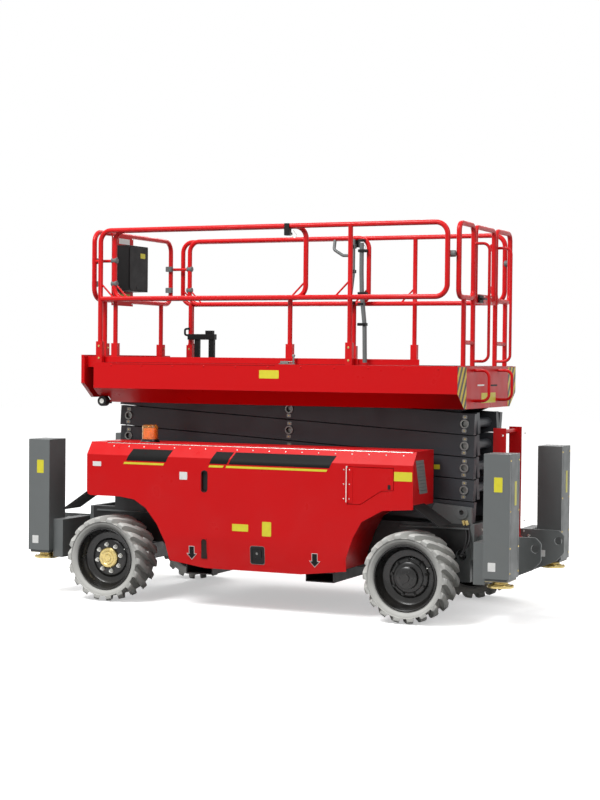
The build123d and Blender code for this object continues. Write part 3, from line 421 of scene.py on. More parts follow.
RED = Finish(
    "red_enamel", (0.81, 0.045, 0.065), "red_paint", roughness=0.34, coat=0.04, sheen=0.18, drift=0.02,
    drift_scale=1.5, grain=0.012, dust=0.03, dust_top=0.6,
)
RED_RAIL = Finish(
    "red_rail_enamel", (0.82, 0.05, 0.07), "red_paint", roughness=0.34, coat=0.04, sheen=0.25, drift=0.02,
    drift_scale=3.0, grain=0.015,
)
GREY = Finish(
    "grey_enamel", (0.405, 0.42, 0.42), "grey_paint", roughness=0.45, coat=0.05, sheen=0.35, drift=0.05,
    grain=0.03, dust=0.06,
)
# a darker copy of the grey paint: painted shade for the scissor arms, which lie under the platform
SHADED_ARM_GREY = Finish(
    "scissor_grey_enamel", (0.225, 0.235, 0.25), "grey_paint", roughness=0.42, coat=0.06, sheen=0.25,
    drift=0.05, drift_scale=1.4, grain=0.03,
)
CHARCOAL = Finish(
    "charcoal_enamel", (0.16, 0.165, 0.17), "black_paint", roughness=0.45, coat=0.05, sheen=0.3, drift=0.1,
    dust=0.1,
)
BLACK = Finish(
    "black_gloss_enamel", (0.06, 0.06, 0.062), "black_paint", roughness=0.3, coat=0.12, sheen=0.35,
    drift=0.15, dust=0.06, dust_top=0.5,
)
TYRE = Finish(
    "pale_tyre_rubber", (0.75, 0.75, 0.735), "tyre_rubber", roughness=0.75, sheen=0.3, drift=0.05,
    drift_scale=9.0, grain=0.2, grain_scale=180.0, texture=Texture.MOULDED, dust=0.12, dust_top=0.7,
)
RUBBER = Finish(
    "black_rubber_skin", (0.09, 0.09, 0.09), "black_rubber", roughness=0.68, sheen=0.2, drift=0.2,
    grain=0.2, texture=Texture.MOULDED,
)
PLASTIC = Finish(
    "black_moulding", (0.07, 0.07, 0.072), "black_plastic", roughness=0.5, sheen=0.2, drift=0.12,
    grain=0.15, grain_scale=420.0, texture=Texture.MOULDED,
)
ZINC = Finish(
    "yellow_passivated_zinc", (0.76, 0.68, 0.44), "zinc_plate", roughness=0.3, metallic=0.85, drift=0.18,
    drift_scale=22.0, texture=Texture.BRUSHED, second=(0.62, 0.60, 0.52), spots=0.35,
)
STEEL = Finish(
    "dull_steel", (0.46, 0.46, 0.45), "chrome", roughness=0.42, metallic=0.75, drift=0.1, drift_scale=20.0,
    texture=Texture.BRUSHED,
)
BRIGHT = Finish(
    "bright_zinc", (0.78, 0.78, 0.76), "chrome", roughness=0.28, metallic=0.9, drift=0.1, drift_scale=20.0,
    texture=Texture.BRUSHED,
)
CHROME = Finish("hard_chrome", (0.85, 0.85, 0.86), "chrome", roughness=0.08, metallic=1.0, drift=0.03)
AMBER = Clear("amber_lens", (1.0, 0.80, 0.46), "amber_plastic", roughness=0.08, drift=0.02, passing=0.9)
AMBER_CORE = Finish("amber_lamp", (0.98, 0.56, 0.12), "amber_plastic", roughness=0.3, drift=0.05)
YELLOW_LABEL = Finish("yellow_label_film", (0.87, 0.83, 0.20), roughness=0.4, drift=0.05, drift_scale=30.0)
WHITE_LABEL = Finish("white_label_film", (0.90, 0.90, 0.89), roughness=0.35, drift=0.04, drift_scale=30.0)
INK = Finish("black_label_ink", (0.05, 0.05, 0.05), roughness=0.5, sheen=0.12, drift=0.1, drift_scale=30.0)
HAZARD = Stripes("hazard_bars", (0.90, 0.79, 0.12), roughness=0.4, pitch=0.12, lean=(0.0, -1.45, 0.95))
DECK = Finish(
    "tread_plate_deck", (0.55, 0.56, 0.57), "grey_paint", roughness=0.4, metallic=0.7, drift=0.12,
    grain=0.6, grain_scale=16.0, texture=Texture.CHEQUER,
)
VENT = Finish(
    "vent_mesh", (0.46, 0.46, 0.45), "grey_paint", roughness=0.5, drift=0.1, grain=0.9, grain_scale=60.0,
    texture=Texture.MESH,
)
GAUZE = Finish(
    "brown_gauze", (0.17, 0.125, 0.115), "black_paint", roughness=0.6, sheen=0.2, drift=0.1, grain=0.9,
    grain_scale=60.0, texture=Texture.MESH,
)
HOSE = Finish(
    "hydraulic_hose_skin", (0.085, 0.085, 0.09), "black_rubber", roughness=0.5, drift=0.2, drift_scale=40.0,
    grain=0.2, texture=Texture.MOULDED,
)


# ------------------------------------------------------------- mesh building


def place(mesh: Mesh, matrix: Matrix) -> None:
    """Moves a whole mesh."""
    bmesh.ops.transform(mesh, matrix=matrix, verts=mesh.verts)


def frame_of(origin: Point, normal: Point, up: Point = (0.0, 0.0, 1.0)) -> Matrix:
    """Gives the placement whose local Z is the normal and local Y is nearest to up.

    Args:
        origin: Where it stands.
        normal: Its local Z.
        up: What its local Y leans to.

    Returns:
        The 4x4 placement.
    """
    out = Vector(normal).normalized()
    side = Vector(up).cross(out)
    if side.length < 1e-6:
        side = Vector((1.0, 0.0, 0.0)).cross(out)
    side.normalize()
    top = out.cross(side)
    turned = Matrix((side, top, out)).transposed().to_4x4()
    return Matrix.Translation(Vector(origin)) @ turned


class Form:
    """A mesh that is being put together from bevelled parts, in the frame's metres."""

    def __init__(self) -> None:
        """Starts empty."""
        self.mesh = bmesh.new()

    def join(self, part: Mesh, at: Matrix | None = None, bevel: float = 0.0, angle: float = 0.6) -> "Form":
        """Adds a part.

        Args:
            part: The part, which is used up.
            at: Where it goes.
            bevel: The width of its rounded edges.
            angle: The turn between faces from which an edge is rounded.

        Returns:
            This form.
        """
        bmesh.ops.recalc_face_normals(part, faces=part.faces)
        if bevel:
            sharp = [e for e in part.edges if len(e.link_faces) == 2 and e.calc_face_angle(0.0) > angle]
            bmesh.ops.bevel(
                part, geom=sharp, offset=bevel, segments=2, profile=0.6, affect="EDGES", clamp_overlap=True
            )
        if at is not None:
            place(part, at)
            if at.determinant() < 0:
                bmesh.ops.reverse_faces(part, faces=part.faces)
        carried = bpy.data.meshes.new("carried")
        part.to_mesh(carried)
        part.free()
        self.mesh.from_mesh(carried)
        bpy.data.meshes.remove(carried)
        return self

    def block(self, low: Point, high: Point, bevel: float = 0.0015, at: Matrix | None = None) -> "Form":
        """Adds a box with rounded edges.

        Args:
            low: Its lowest corner.
            high: Its highest corner.
            bevel: The width of its rounded edges.
            at: Where it goes.

        Returns:
            This form.
        """
        part = bmesh.new()
        corners = [
            part.verts.new((x, y, z))
            for x in (low[0], high[0])
            for y in (low[1], high[1])
            for z in (low[2], high[2])
        ]
        for ring in ((0, 1, 3, 2), (4, 6, 7, 5), (0, 4, 5, 1), (2, 3, 7, 6), (0, 2, 6, 4), (1, 5, 7, 3)):
            part.faces.new([corners[i] for i in ring])
        return self.join(part, at, bevel)

    def plate(
        self, outline: Sequence[Flat], thickness: float, at: Matrix, bevel: float = 0.0008,
        holes: Sequence[Sequence[Flat]] = (),
    ) -> "Form":
        """Adds a flat plate that stands on its placement's local Z.

        Args:
            outline: Its corners, in local X and Y.
            thickness: How thick it is.
            at: Where it lies.
            bevel: The width of its rounded edges.
            holes: Further outlines that are cut out.

        Returns:
            This form.
        """
        part = bmesh.new()
        edges: list[bmesh.types.BMEdge] = []
        for ring in (outline, *holes):
            corners = [part.verts.new((x, y, 0.0)) for x, y in ring]
            edges += [part.edges.new((a, b)) for a, b in zip(corners, corners[1:] + corners[:1])]
        if holes:
            bmesh.ops.triangle_fill(part, use_beauty=True, edges=edges)
        else:
            part.faces.new(part.verts[:])
        raised = bmesh.ops.extrude_face_region(part, geom=part.faces[:])
        bmesh.ops.translate(
            part, vec=(0.0, 0.0, thickness),
            verts=[g for g in raised["geom"] if isinstance(g, bmesh.types.BMVert)],
        )
        return self.join(part, at, bevel)

    def spin(self, profile: Sequence[Flat], at: Matrix, steps: int = 48) -> "Form":
        """Adds a closed ring section turned about its placement's local Z.

        Args:
            profile: Radius and height of each corner of the section; a radius of 0 lies on the axis.
            at: Where it stands.
            steps: How many steps it turns in.

        Returns:
            This form.
        """
        part = bmesh.new()
        turns = [(math.cos(math.tau * i / steps), math.sin(math.tau * i / steps)) for i in range(steps)]
        rings = []
        for r, z in profile:
            if r > ON_AXIS:
                rings.append([part.verts.new((r * cosine, r * sine, z)) for cosine, sine in turns])
            else:
                rings.append([part.verts.new((0.0, 0.0, z))] * steps)
        for low, high in zip(rings, rings[1:] + rings[:1]):
            for i in range(steps):
                j = (i + 1) % steps
                corners = list(dict.fromkeys((low[i], low[j], high[j], high[i])))
                if len(corners) > 2 and (low[0] is not low[1] or high[0] is not high[1]):
                    part.faces.new(corners)
        return self.join(part, at)

    def rod(
        self, start: Point, end: Point, radius: float, steps: int = 20, chamfer: float = 0.001
    ) -> "Form":
        """Adds a straight round bar with eased ends.

        Args:
            start: The middle of its first end.
            end: The middle of its last end.
            radius: Its radius.
            steps: How many sides it has.
            chamfer: The width of its eased ends.

        Returns:
            This form.
        """
        along = Vector(end) - Vector(start)
        length = along.length
        ease = min(chamfer, radius * 0.4, length * 0.3)
        profile = [
            (0.0, 0.0), (radius - ease, 0.0), (radius, ease), (radius, length - ease),
            (radius - ease, length), (0.0, length),
        ]
        return self.spin(profile, frame_of(start, tuple(along), (0.3, 0.5, 0.9)), steps)

    def tube(
        self, points: Sequence[Point], radius: float, bends: float | Sequence[float] = 0.0,
        closed: bool = False, steps: int = 14,
    ) -> "Form":
        """Adds a round tube along a path with rounded corners.

        Args:
            points: The path's corners.
            radius: The tube's radius.
            bends: The radius of the bend at each corner between the ends.
            closed: Whether the path is a loop.
            steps: How many sides the tube has.

        Returns:
            This form.
        """
        return self.join(swept(rounded(points, bends, closed), radius, closed, steps))

    def hose(self, points: Sequence[Point], radius: float, steps: int = 12) -> "Form":
        """Adds a hose on one smooth curve.

        Args:
            points: The curve's control points.
            radius: The hose's radius.
            steps: How many sides it has.

        Returns:
            This form.
        """
        return self.join(swept(smooth_line(points), radius, False, steps))

    def done(
        self, name: str, finish: Finish, body: str, crease: float = 38.0, weighted: bool = True
    ) -> Piece:
        """Turns the form into a finished piece.

        Args:
            name: The piece's name.
            finish: Its finish.
            body: The body that it rides on.
            crease: The turn in degrees from which an edge stays sharp.
            weighted: Whether large faces stay flat beside their rounded edges.

        Returns:
            The piece.
        """
        made = bpy.data.meshes.new(name)
        self.mesh.to_mesh(made)
        self.mesh.free()
        made.materials.append(finish.material())
        piece = bpy.data.objects.new(name, made)
        bpy.context.scene.collection.objects.link(piece)
        soften(piece, crease, weighted)
        return settle(piece, body)


def settle(piece: Piece, body: str) -> Piece:
    """Lets a piece ride on its body.

    Args:
        piece: The piece.
        body: The body.

    Returns:
        The piece.
    """
    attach(piece, body)
    return piece


def soften(piece: Piece, crease: float, weighted: bool) -> None:
    """Shades a piece smooth between its creases.

    Args:
        piece: The piece.
        crease: The turn in degrees from which an edge stays sharp.
        weighted: Whether large faces stay flat beside their rounded edges.
    """
    piece.data.shade_smooth()
    piece.data.set_sharp_from_angle(angle=math.radians(crease))
    if weighted:
        leaning = piece.modifiers.new("flat_faces", "WEIGHTED_NORMAL")
        leaning.keep_sharp = True
        leaning.weight = 80
        bake(piece)


def bake(piece: Piece) -> None:
    """Turns a piece's modifiers into plain mesh.

    Args:
        piece: The piece, whose mesh keeps its name.
    """
    bpy.context.view_layer.update()
    graph = bpy.context.evaluated_depsgraph_get()
    made = bpy.data.meshes.new_from_object(
        piece.evaluated_get(graph), preserve_all_data_layers=True, depsgraph=graph
    )
    old = piece.data
    name = old.name
    piece.modifiers.clear()
    piece.data = made
    bpy.data.meshes.remove(old)
    made.name = name


def rounded(points: Sequence[Point], bends: float | Sequence[float], closed: bool = False) -> list[Vector]:
    """Rounds a path's corners.

    Args:
        points: The path's corners.
        bends: The radius at every corner, or one for each corner between the ends.
        closed: Whether the path is a loop.

    Returns:
        The path's points.
    """
    corners = [Vector(p) for p in points]
    last = len(corners)
    inner = range(last) if closed else range(1, last - 1)
    radii = dict(zip(inner, bends)) if not isinstance(bends, (int, float)) else {i: bends for i in inner}
    path: list[Vector] = [] if closed else [corners[0]]
    for i in inner:
        here, before, after = corners[i], corners[i - 1], corners[(i + 1) % last]
        back, on = (before - here).normalized(), (after - here).normalized()
        half = back.angle(on) / 2.0
        radius = radii.get(i, 0.0)
        if radius <= 0 or half > 1.55:
            path.append(here)
            continue
        reach = radius / math.tan(half)
        middle = here + (back + on).normalized() * (radius / math.sin(half))
        first, final = here + back * reach - middle, here + on * reach - middle
        axis = first.cross(final).normalized()
        turn = first.angle(final)
        steps = max(3, int(turn / 0.22))
        path += [middle + Matrix.Rotation(turn * k / steps, 3, axis) @ first for k in range(steps + 1)]
    return path if closed else [*path, corners[-1]]


def smooth_line(points: Sequence[Point], steps: int = 10) -> list[Vector]:
    """Samples a smooth spline through its control points' polygon.

    Args:
        points: The control points.
        steps: How fine the curve is between two of them.

    Returns:
        The curve's points.
    """
    line = bpy.data.curves.new("line", "CURVE")
    line.dimensions = "3D"
    line.resolution_u = steps
    spline = line.splines.new("NURBS")
    spline.points.add(len(points) - 1)
    for knot, point in zip(spline.points, points):
        knot.co = (*point, 1.0)
    spline.order_u = 4 if len(points) > 3 else 3
    spline.use_endpoint_u = True
    holder = bpy.data.objects.new("line", line)
    bpy.context.scene.collection.objects.link(holder)
    bpy.context.view_layer.update()
    flat = bpy.data.meshes.new_from_object(holder)
    path = [v.co.copy() for v in flat.vertices]
    bpy.data.meshes.remove(flat)
    bpy.data.objects.remove(holder)
    bpy.data.curves.remove(line)
    return path


def swept(path: Sequence[Vector], radius: float, closed: bool, steps: int) -> Mesh:
    """Sweeps a circle along a path.

    Args:
        path: The path's points.
        radius: The circle's radius.
        closed: Whether the path is a loop.
        steps: How many sides the tube has.

    Returns:
        The tube's mesh.
    """
    part = bmesh.new()
    count = len(path)
    side = Vector((0.0, 0.0, 0.0))
    turns = [math.tau * k / steps for k in range(steps)]
    rings = []
    for i, here in enumerate(path):
        before = path[i - 1] if closed or i else here
        after = path[(i + 1) % count] if closed or i < count - 1 else here
        ahead = (after - before).normalized()
        if i == 0:
            side = ahead.orthogonal().normalized()
        side = (side - ahead * side.dot(ahead)).normalized()
        top = ahead.cross(side)
        spokes = [side * math.cos(turn) + top * math.sin(turn) for turn in turns]
        rings.append([part.verts.new(here + spoke * radius) for spoke in spokes])
    pairs = list(zip(rings, rings[1:]))
    if closed:
        nearest = min(range(steps), key=lambda k: (rings[0][k].co - rings[-1][0].co).length)
        pairs.append((rings[-1], rings[0][nearest:] + rings[0][:nearest]))
    for low, high in pairs:
        for k in range(steps):
            part.faces.new((low[k], low[(k + 1) % steps], high[(k + 1) % steps], high[k]))
    if not closed:
        part.faces.new(list(reversed(rings[0])))
        part.faces.new(rings[-1])
    return part


def ring_of(radius: float, count: int, centre: Flat = (0.0, 0.0), start: float = 0.0) -> list[Flat]:
    """Gives points on a circle.

    Args:
        radius: The circle's radius.
        count: How many points.
        centre: Its middle.
        start: The first point's angle.

    Returns:
        The points, anticlockwise.
    """
    turns = [start + math.tau * i / count for i in range(count)]
    return [(centre[0] + radius * math.cos(turn), centre[1] + radius * math.sin(turn)) for turn in turns]


def soft_box(width: float, height: float, radius: float, centre: Flat = (0.0, 0.0)) -> list[Flat]:
    """Gives the outline of a rectangle with round corners.

    Args:
        width: Its width.
        height: Its height.
        radius: Its corners' radius.
        centre: Its middle.

    Returns:
        The outline, anticlockwise.
    """
    x, y = width / 2.0 - radius, height / 2.0 - radius
    outline = []
    for quarter, (cx, cy) in enumerate(((x, y), (-x, y), (-x, -y), (x, -y))):
        for step in range(5):
            angle = (quarter + step / 4.0) * math.pi / 2.0
            reach, rise = radius * math.cos(angle), radius * math.sin(angle)
            outline.append((centre[0] + cx + reach, centre[1] + cy + rise))
    return outline


# ------------------------------------------------------------- geometry nodes


@dataclass(frozen=True)
class Seat:
    """Where one fastener sits.

    Args:
        spot: Its foot, on the surface.
        facing: The way that it faces.
    """

    spot: Point
    facing: Point


class Rows:
    """A Geometry Nodes tree that sets one small shape on every seat, facing out."""

    def __init__(self) -> None:
        """Builds the tree with its named inputs."""
        tree = bpy.data.node_groups.new("set_on_seats", "GeometryNodeTree")
        face = tree.interface
        face.new_socket("Geometry", in_out="INPUT", socket_type="NodeSocketGeometry")
        self.shape = face.new_socket("Shape", in_out="INPUT", socket_type="NodeSocketObject").identifier
        self.size = face.new_socket("Size", in_out="INPUT", socket_type="NodeSocketFloat").identifier
        self.turn = face.new_socket("Turn", in_out="INPUT", socket_type="NodeSocketFloat").identifier
        self.finish = face.new_socket("Finish", in_out="INPUT", socket_type="NodeSocketMaterial").identifier
        face.new_socket("Geometry", in_out="OUTPUT", socket_type="NodeSocketGeometry")
        graph = Graph(tree)
        given = graph.add("NodeGroupInput")
        info = graph.add("GeometryNodeObjectInfo", {"transform_space": "ORIGINAL"})
        facing = graph.add("GeometryNodeInputNamedAttribute", {"data_type": "FLOAT_VECTOR"}, Name="facing")
        aim = graph.add("FunctionNodeAlignRotationToVector", {"axis": "Z"})
        chance = graph.add("FunctionNodeRandomValue", {"data_type": "FLOAT"}, Seed=7)
        twist = graph.add("FunctionNodeAxisAngleToRotation")
        twist.inputs["Axis"].default_value = (0.0, 0.0, 1.0)
        spin = graph.add("FunctionNodeRotateRotation", {"rotation_space": "LOCAL"})
        spread = graph.add("GeometryNodeInstanceOnPoints")
        real = graph.add("GeometryNodeRealizeInstances")
        paint = graph.add("GeometryNodeSetMaterial")
        out = graph.add("NodeGroupOutput")
        graph.link(given.outputs["Shape"], info.inputs["Object"])
        graph.link(facing.outputs["Attribute"], aim.inputs["Vector"])
        graph.link(given.outputs["Turn"], chance.inputs[3])
        graph.link(chance.outputs[1], twist.inputs["Angle"])
        graph.link(aim.outputs[0], spin.inputs["Rotation"])
        graph.link(twist.outputs[0], spin.inputs["Rotate By"])
        graph.link(given.outputs["Geometry"], spread.inputs["Points"])
        graph.link(info.outputs["Geometry"], spread.inputs["Instance"])
        graph.link(spin.outputs[0], spread.inputs["Rotation"])
        graph.link(given.outputs["Size"], spread.inputs["Scale"])
        graph.link(spread.outputs[0], real.inputs[0])
        graph.link(real.outputs[0], paint.inputs["Geometry"])
        graph.link(given.outputs["Finish"], paint.inputs["Material"])
        graph.link(paint.outputs[0], out.inputs[0])
        self.tree = tree

    def lay(
        self, name: str, seats: Sequence[Seat], shape: Piece, finish: Finish, body: str, size: float = 1.0,
        turn: float = math.tau,
    ) -> Piece:
        """Sets the shape on every seat, as one piece.

        Args:
            name: The piece's name.
            seats: Where each one sits.
            shape: The shape, which stands on its local Z.
            finish: Its finish.
            body: The body that all of them ride on.
            size: What the shape is multiplied by.
            turn: The most that one is turned about its own axis.

        Returns:
            The piece.
        """
        made = bpy.data.meshes.new(name)
        made.from_pydata([seat.spot for seat in seats], [], [])
        facing = made.attributes.new("facing", "FLOAT_VECTOR", "POINT")
        facing.data.foreach_set("vector", [c for seat in seats for c in seat.facing])
        piece = bpy.data.objects.new(name, made)
        bpy.context.scene.collection.objects.link(piece)
        rows = piece.modifiers.new("rows", "NODES")
        rows.node_group = self.tree
        rows[self.shape] = shape
        rows[self.size] = size
        rows[self.turn] = turn
        rows[self.finish] = finish.material()
        bake(piece)
        piece.data.set_sharp_from_angle(angle=CREASE)
        return settle(piece, body)


class Shapes:
    """Small shapes that repeat, removed once the last row is laid."""

    def __init__(self) -> None:
        """Builds the shapes."""
        self.bolt = self.keep("bolt_shape", self.bolt_form())
        self.button = self.keep("button_shape", self.button_form())
        self.nut = self.keep("nut_shape", self.nut_form())

    def keep(self, name: str, form: Form) -> Piece:
        """Turns a form into a shape's object, linked to the scene.

        Args:
            name: The shape's name.
            form: The form, which is used up.

        Returns:
            The shape's object.
        """
        made = bpy.data.meshes.new(name)
        form.mesh.to_mesh(made)
        form.mesh.free()
        made.shade_smooth()
        shape = bpy.data.objects.new(name, made)
        bpy.context.scene.collection.objects.link(shape)
        return shape

    def bolt_form(self) -> Form:
        """Gives a hexagon bolt head, 20 mm over its washer.

        Returns:
            The form.
        """
        form = Form()
        upright = Matrix.Identity(4)
        form.spin([(0.0, 0.0), (0.010, 0.0), (0.010, 0.0016), (0.0, 0.0016)], upright, 14)
        form.plate(ring_of(0.0078, 6), 0.0058, Matrix.Translation((0.0, 0.0, 0.0014)), 0.0007)
        return form

    def button_form(self) -> Form:
        """Gives a domed round head, 20 mm across."""
        return Form().spin([
            (0.0, 0.0), (0.010, 0.0), (0.0098, 0.002), (0.0075, 0.0052), (0.004, 0.0068), (0.0, 0.0072)
        ], Matrix.Identity(4), 14)

    def nut_form(self) -> Form:
        """Gives a wheel nut with its stud's end, 34 mm across.

        Returns:
            The form.
        """
        form = Form()
        form.spin([(0.0, 0.0), (0.017, 0.0), (0.0165, 0.004), (0.0, 0.004)], Matrix.Identity(4), 14)
        form.plate(ring_of(0.0145, 6), 0.016, Matrix.Translation((0.0, 0.0, 0.003)), 0.0018)
        form.spin([
            (0.0, 0.018), (0.0088, 0.018), (0.0085, 0.027), (0.007, 0.029), (0.0, 0.029)
        ], Matrix.Identity(4), 12)
        return form

    def clear(self) -> None:
        """Removes the shapes."""
        for shape in (self.bolt, self.button, self.nut):
            bpy.data.objects.remove(shape)


# ------------------------------------------------------------ CAD-node finish


@dataclass(frozen=True)
class Coat:
    """How one CAD node is finished.

    Args:
        finish: Its finish.
        bevel: The width of its rounded edges in metres, 0 for none.
        other: A second finish for some of its faces.
        where: Tells from a face's middle and normal whether it takes the second finish.
        merged: Whether flat neighbours become one face; not where a face has openings.
    """

    finish: Finish
    bevel: float = 0.002
    other: Finish | None = None
    where: Callable[[Vector, Vector], bool] | None = None
    merged: bool = True


def coated(node: str, coat: Coat) -> Piece:
    """Stands a copy with eased edges and a full finish in for a CAD node.

    Args:
        node: The node's name.
        coat: How it is finished.

    Returns:
        The new piece.
    """
    source = frame["nodes"][node]
    made = bpy.data.meshes.new(node + "_skin")
    made.from_pydata([
        v.co[:] for v in source.data.vertices
    ], [], [p.vertices[:] for p in source.data.polygons])
    part = bmesh.new()
    part.from_mesh(made)
    bmesh.ops.remove_doubles(part, verts=part.verts, dist=WELD)
    if coat.merged:
        bmesh.ops.dissolve_limit(
            part, angle_limit=FLAT, verts=part.verts, edges=part.edges, use_dissolve_boundaries=False
        )
    part.to_mesh(made)
    part.free()
    piece = bpy.data.objects.new(node + "_skin", made)
    bpy.context.scene.collection.objects.link(piece)
    if coat.bevel:
        ease = piece.modifiers.new("eased_edges", "BEVEL")
        ease.width = coat.bevel
        ease.segments = 2
        ease.limit_method = "ANGLE"
        ease.angle_limit = math.radians(40.0)
        ease.use_clamp_overlap = True
        ease.miter_outer = "MITER_ARC"
        bake(piece)
    piece.data.materials.append(coat.finish.material())
    if coat.other and coat.where:
        piece.data.materials.append(coat.other.material())
        for face in piece.data.polygons:
            if coat.where(face.center, face.normal):
                face.material_index = 1
    soften(piece, SMOOTH_CREASE if coat.bevel else PLAIN_CREASE, coat.bevel > 0.0)
    settle(piece, source["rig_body"])
    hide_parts(node)
    return piece


# ---------------------------------------------------------------- assemblies


NEAR: Point = (0.0, -1.0, 0.0)
FAR: Point = (0.0, 1.0, 0.0)
REAR: Point = (1.0, 0.0, 0.0)
FRONT: Point = (-1.0, 0.0, 0.0)
ABOVE: Point = (0.0, 0.0, 1.0)
SIDES = {"left": -1.0, "right": 1.0}
ENDS = {"front": -1.0, "rear": 1.0}


@dataclass
class Assembly:
    """What every assembly is built with.

    Args:
        rows: Lays what repeats.
        shapes: The small shapes that repeat.
    """

    rows: Rows
    shapes: Shapes


@dataclass
class SidePart(Assembly):
    """An assembly on one side of the machine.

    Args:
        side: "left" or "right".
    """

    side: str


@dataclass
class CornerPart(SidePart):
    """An assembly at one corner of the machine.

    Args:
        end: "front" or "rear".
    """

    end: str


@dataclass
class Wheel(CornerPart):
    """A wheel with its chevron tread, deep rim, nuts and hub.

    Args:
        lugs: How many lugs each half of the tread has.
        lug_height: How far a lug stands above the carcass.
        sidewall: The radius at which the pale rubber ends.
        flange: The radius of the rim's flange.
        barrel: The radius inside the rim's barrel.
        disc_depth: How far the wheel disc stands behind the tyre's face.
        valve: Where the valve stands on the disc.
    """

    lugs: int = 18
    lug_height: float = 0.036
    sidewall: float = 0.284
    flange: float = 0.238
    barrel: float = 0.206
    disc_depth: float = 0.112
    valve: Flat = (0.150, 0.075)
    body: str = field(init=False)

    def __post_init__(self) -> None:
        """Reads the wheel's place from its tyre."""
        self.body = f"wheel_{self.end}_{self.side}"
        self.low, self.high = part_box(f"tyre_{self.end}_{self.side}")
        self.centre = (self.low + self.high) / 2.0
        self.radius = (self.high.z - self.low.z) / 2.0
        self.half = (self.high.y - self.low.y) / 2.0
        self.out = -1.0 if self.centre.y < 0 else 1.0
        self.at = frame_of(tuple(self.centre), (0.0, self.out, 0.0))

    def build(self) -> list[Piece]:
        """Builds the whole wheel.

        Returns:
            Its pieces.
        """
        tread = self.tread()
        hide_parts(f"tyre_{self.end}_{self.side}")
        rim = self.rim()
        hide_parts(f"rim_{self.end}_{self.side}")
        return [tread, rim, self.bead(), *self.hub()]

    def carcass_radius(self, across: float) -> float:
        """Gives the carcass's radius under the tread at a distance from its middle."""
        return self.radius - self.lug_height - 0.012 * (abs(across) / self.half) ** 3

    def tread(self) -> Piece:
        """Builds the pale carcass and its two rows of lugs.

        Returns:
            The piece.
        """
        form = Form()
        half, edge = self.half, self.sidewall
        crown = [
            (self.carcass_radius(y), y)
            for y in (half - 0.012, half * 0.66, half * 0.33, 0.0, -half * 0.33, -half * 0.66, 0.012 - half)
        ]
        shoulder = [(edge, half - 0.0035), (edge - 0.001, half - 0.008), (edge - 0.02, half - 0.03)]
        low_side = [(r, -y) for r, y in reversed(shoulder)]
        outer, inner = (edge + 0.004, half - 0.004), (edge + 0.004, 0.004 - half)
        form.spin([*shoulder[::-1], outer, *crown, inner, *low_side], self.at, 96)
        for row in (1.0, -1.0):
            for lug in range(self.lugs):
                turn = math.tau * (lug + (0.5 if row < 0 else 0.0)) / self.lugs
                form.join(self.lug(row), self.at @ Matrix.Rotation(turn, 4, "Z"), 0.0035, 0.5)
        return form.done(f"{self.body}_tread", TYRE, self.body, 40.0, False)

    def lug(self, row: float) -> Mesh:
        """Builds one lug, from the shoulder to just past the middle.

        Args:
            row: 1 for the outer half of the tread, -1 for the inner half.

        Returns:
            Its mesh, about the wheel's own axis.
        """
        half, top = self.half, self.radius
        stations = [
            (half - 0.0025, self.sidewall + 0.001, self.sidewall + 0.003, 0.0235, 0.0),
            (half - 0.0015, self.sidewall + 0.003, top - 0.020, 0.0225, 0.0),
            (half - 0.012, self.sidewall - 0.004, top - 0.009, 0.0225, 0.015),
            (half * 0.72, self.sidewall - 0.01, top - 0.003, 0.0235, 0.075),
            (half * 0.42, self.sidewall - 0.01, top - 0.0006, 0.0220, 0.165),
            (half * 0.12, self.sidewall - 0.01, top - 0.0002, 0.0200, 0.260),
            (-half * 0.08, self.sidewall - 0.01, top - 0.001, 0.0180, 0.315),
        ]
        part = bmesh.new()
        rings = []
        for across, low, high, width, lead in stations:
            ring = []
            for radius, swell in ((low, 0.005), (high, 0.0)):
                reach = (width + swell) / radius
                pair = [(lead * row * -1.0 + reach * s, radius) for s in (-1.0, 1.0)]
                ring += pair if radius == low else pair[::-1]
            rings.append([
                part.verts.new((r * math.cos(a), r * math.sin(a), across * row)) for a, r in ring
            ])
        for low_ring, high_ring in zip(rings, rings[1:]):
            for i in range(4):
                part.faces.new((low_ring[i], low_ring[(i + 1) % 4], high_ring[(i + 1) % 4], high_ring[i]))
        part.faces.new(rings[0][::-1])
        part.faces.new(rings[-1])
        return part

    def bead(self) -> Piece:
        """Builds the lower sidewalls, from the shoulder in to the rim.

        Returns:
            The piece.
        """
        form = Form()
        half, edge, flange = self.half, self.sidewall, self.flange
        for face in (1.0, -1.0):
            wall = [
                (edge - 0.002, half - 0.02), (edge - 0.001, half - 0.0085), (edge - 0.012, half - 0.0095),
                (edge - 0.022, half - 0.014), (flange + 0.008, half - 0.026),
                (flange - 0.004, half - 0.036), (flange - 0.004, half - 0.06), (edge - 0.014, half - 0.05),
            ]
            form.spin([(r, y * face) for r, y in wall], self.at, 96)
        return form.done(f"{self.body}_sidewall", TYRE, self.body, 50.0, False)

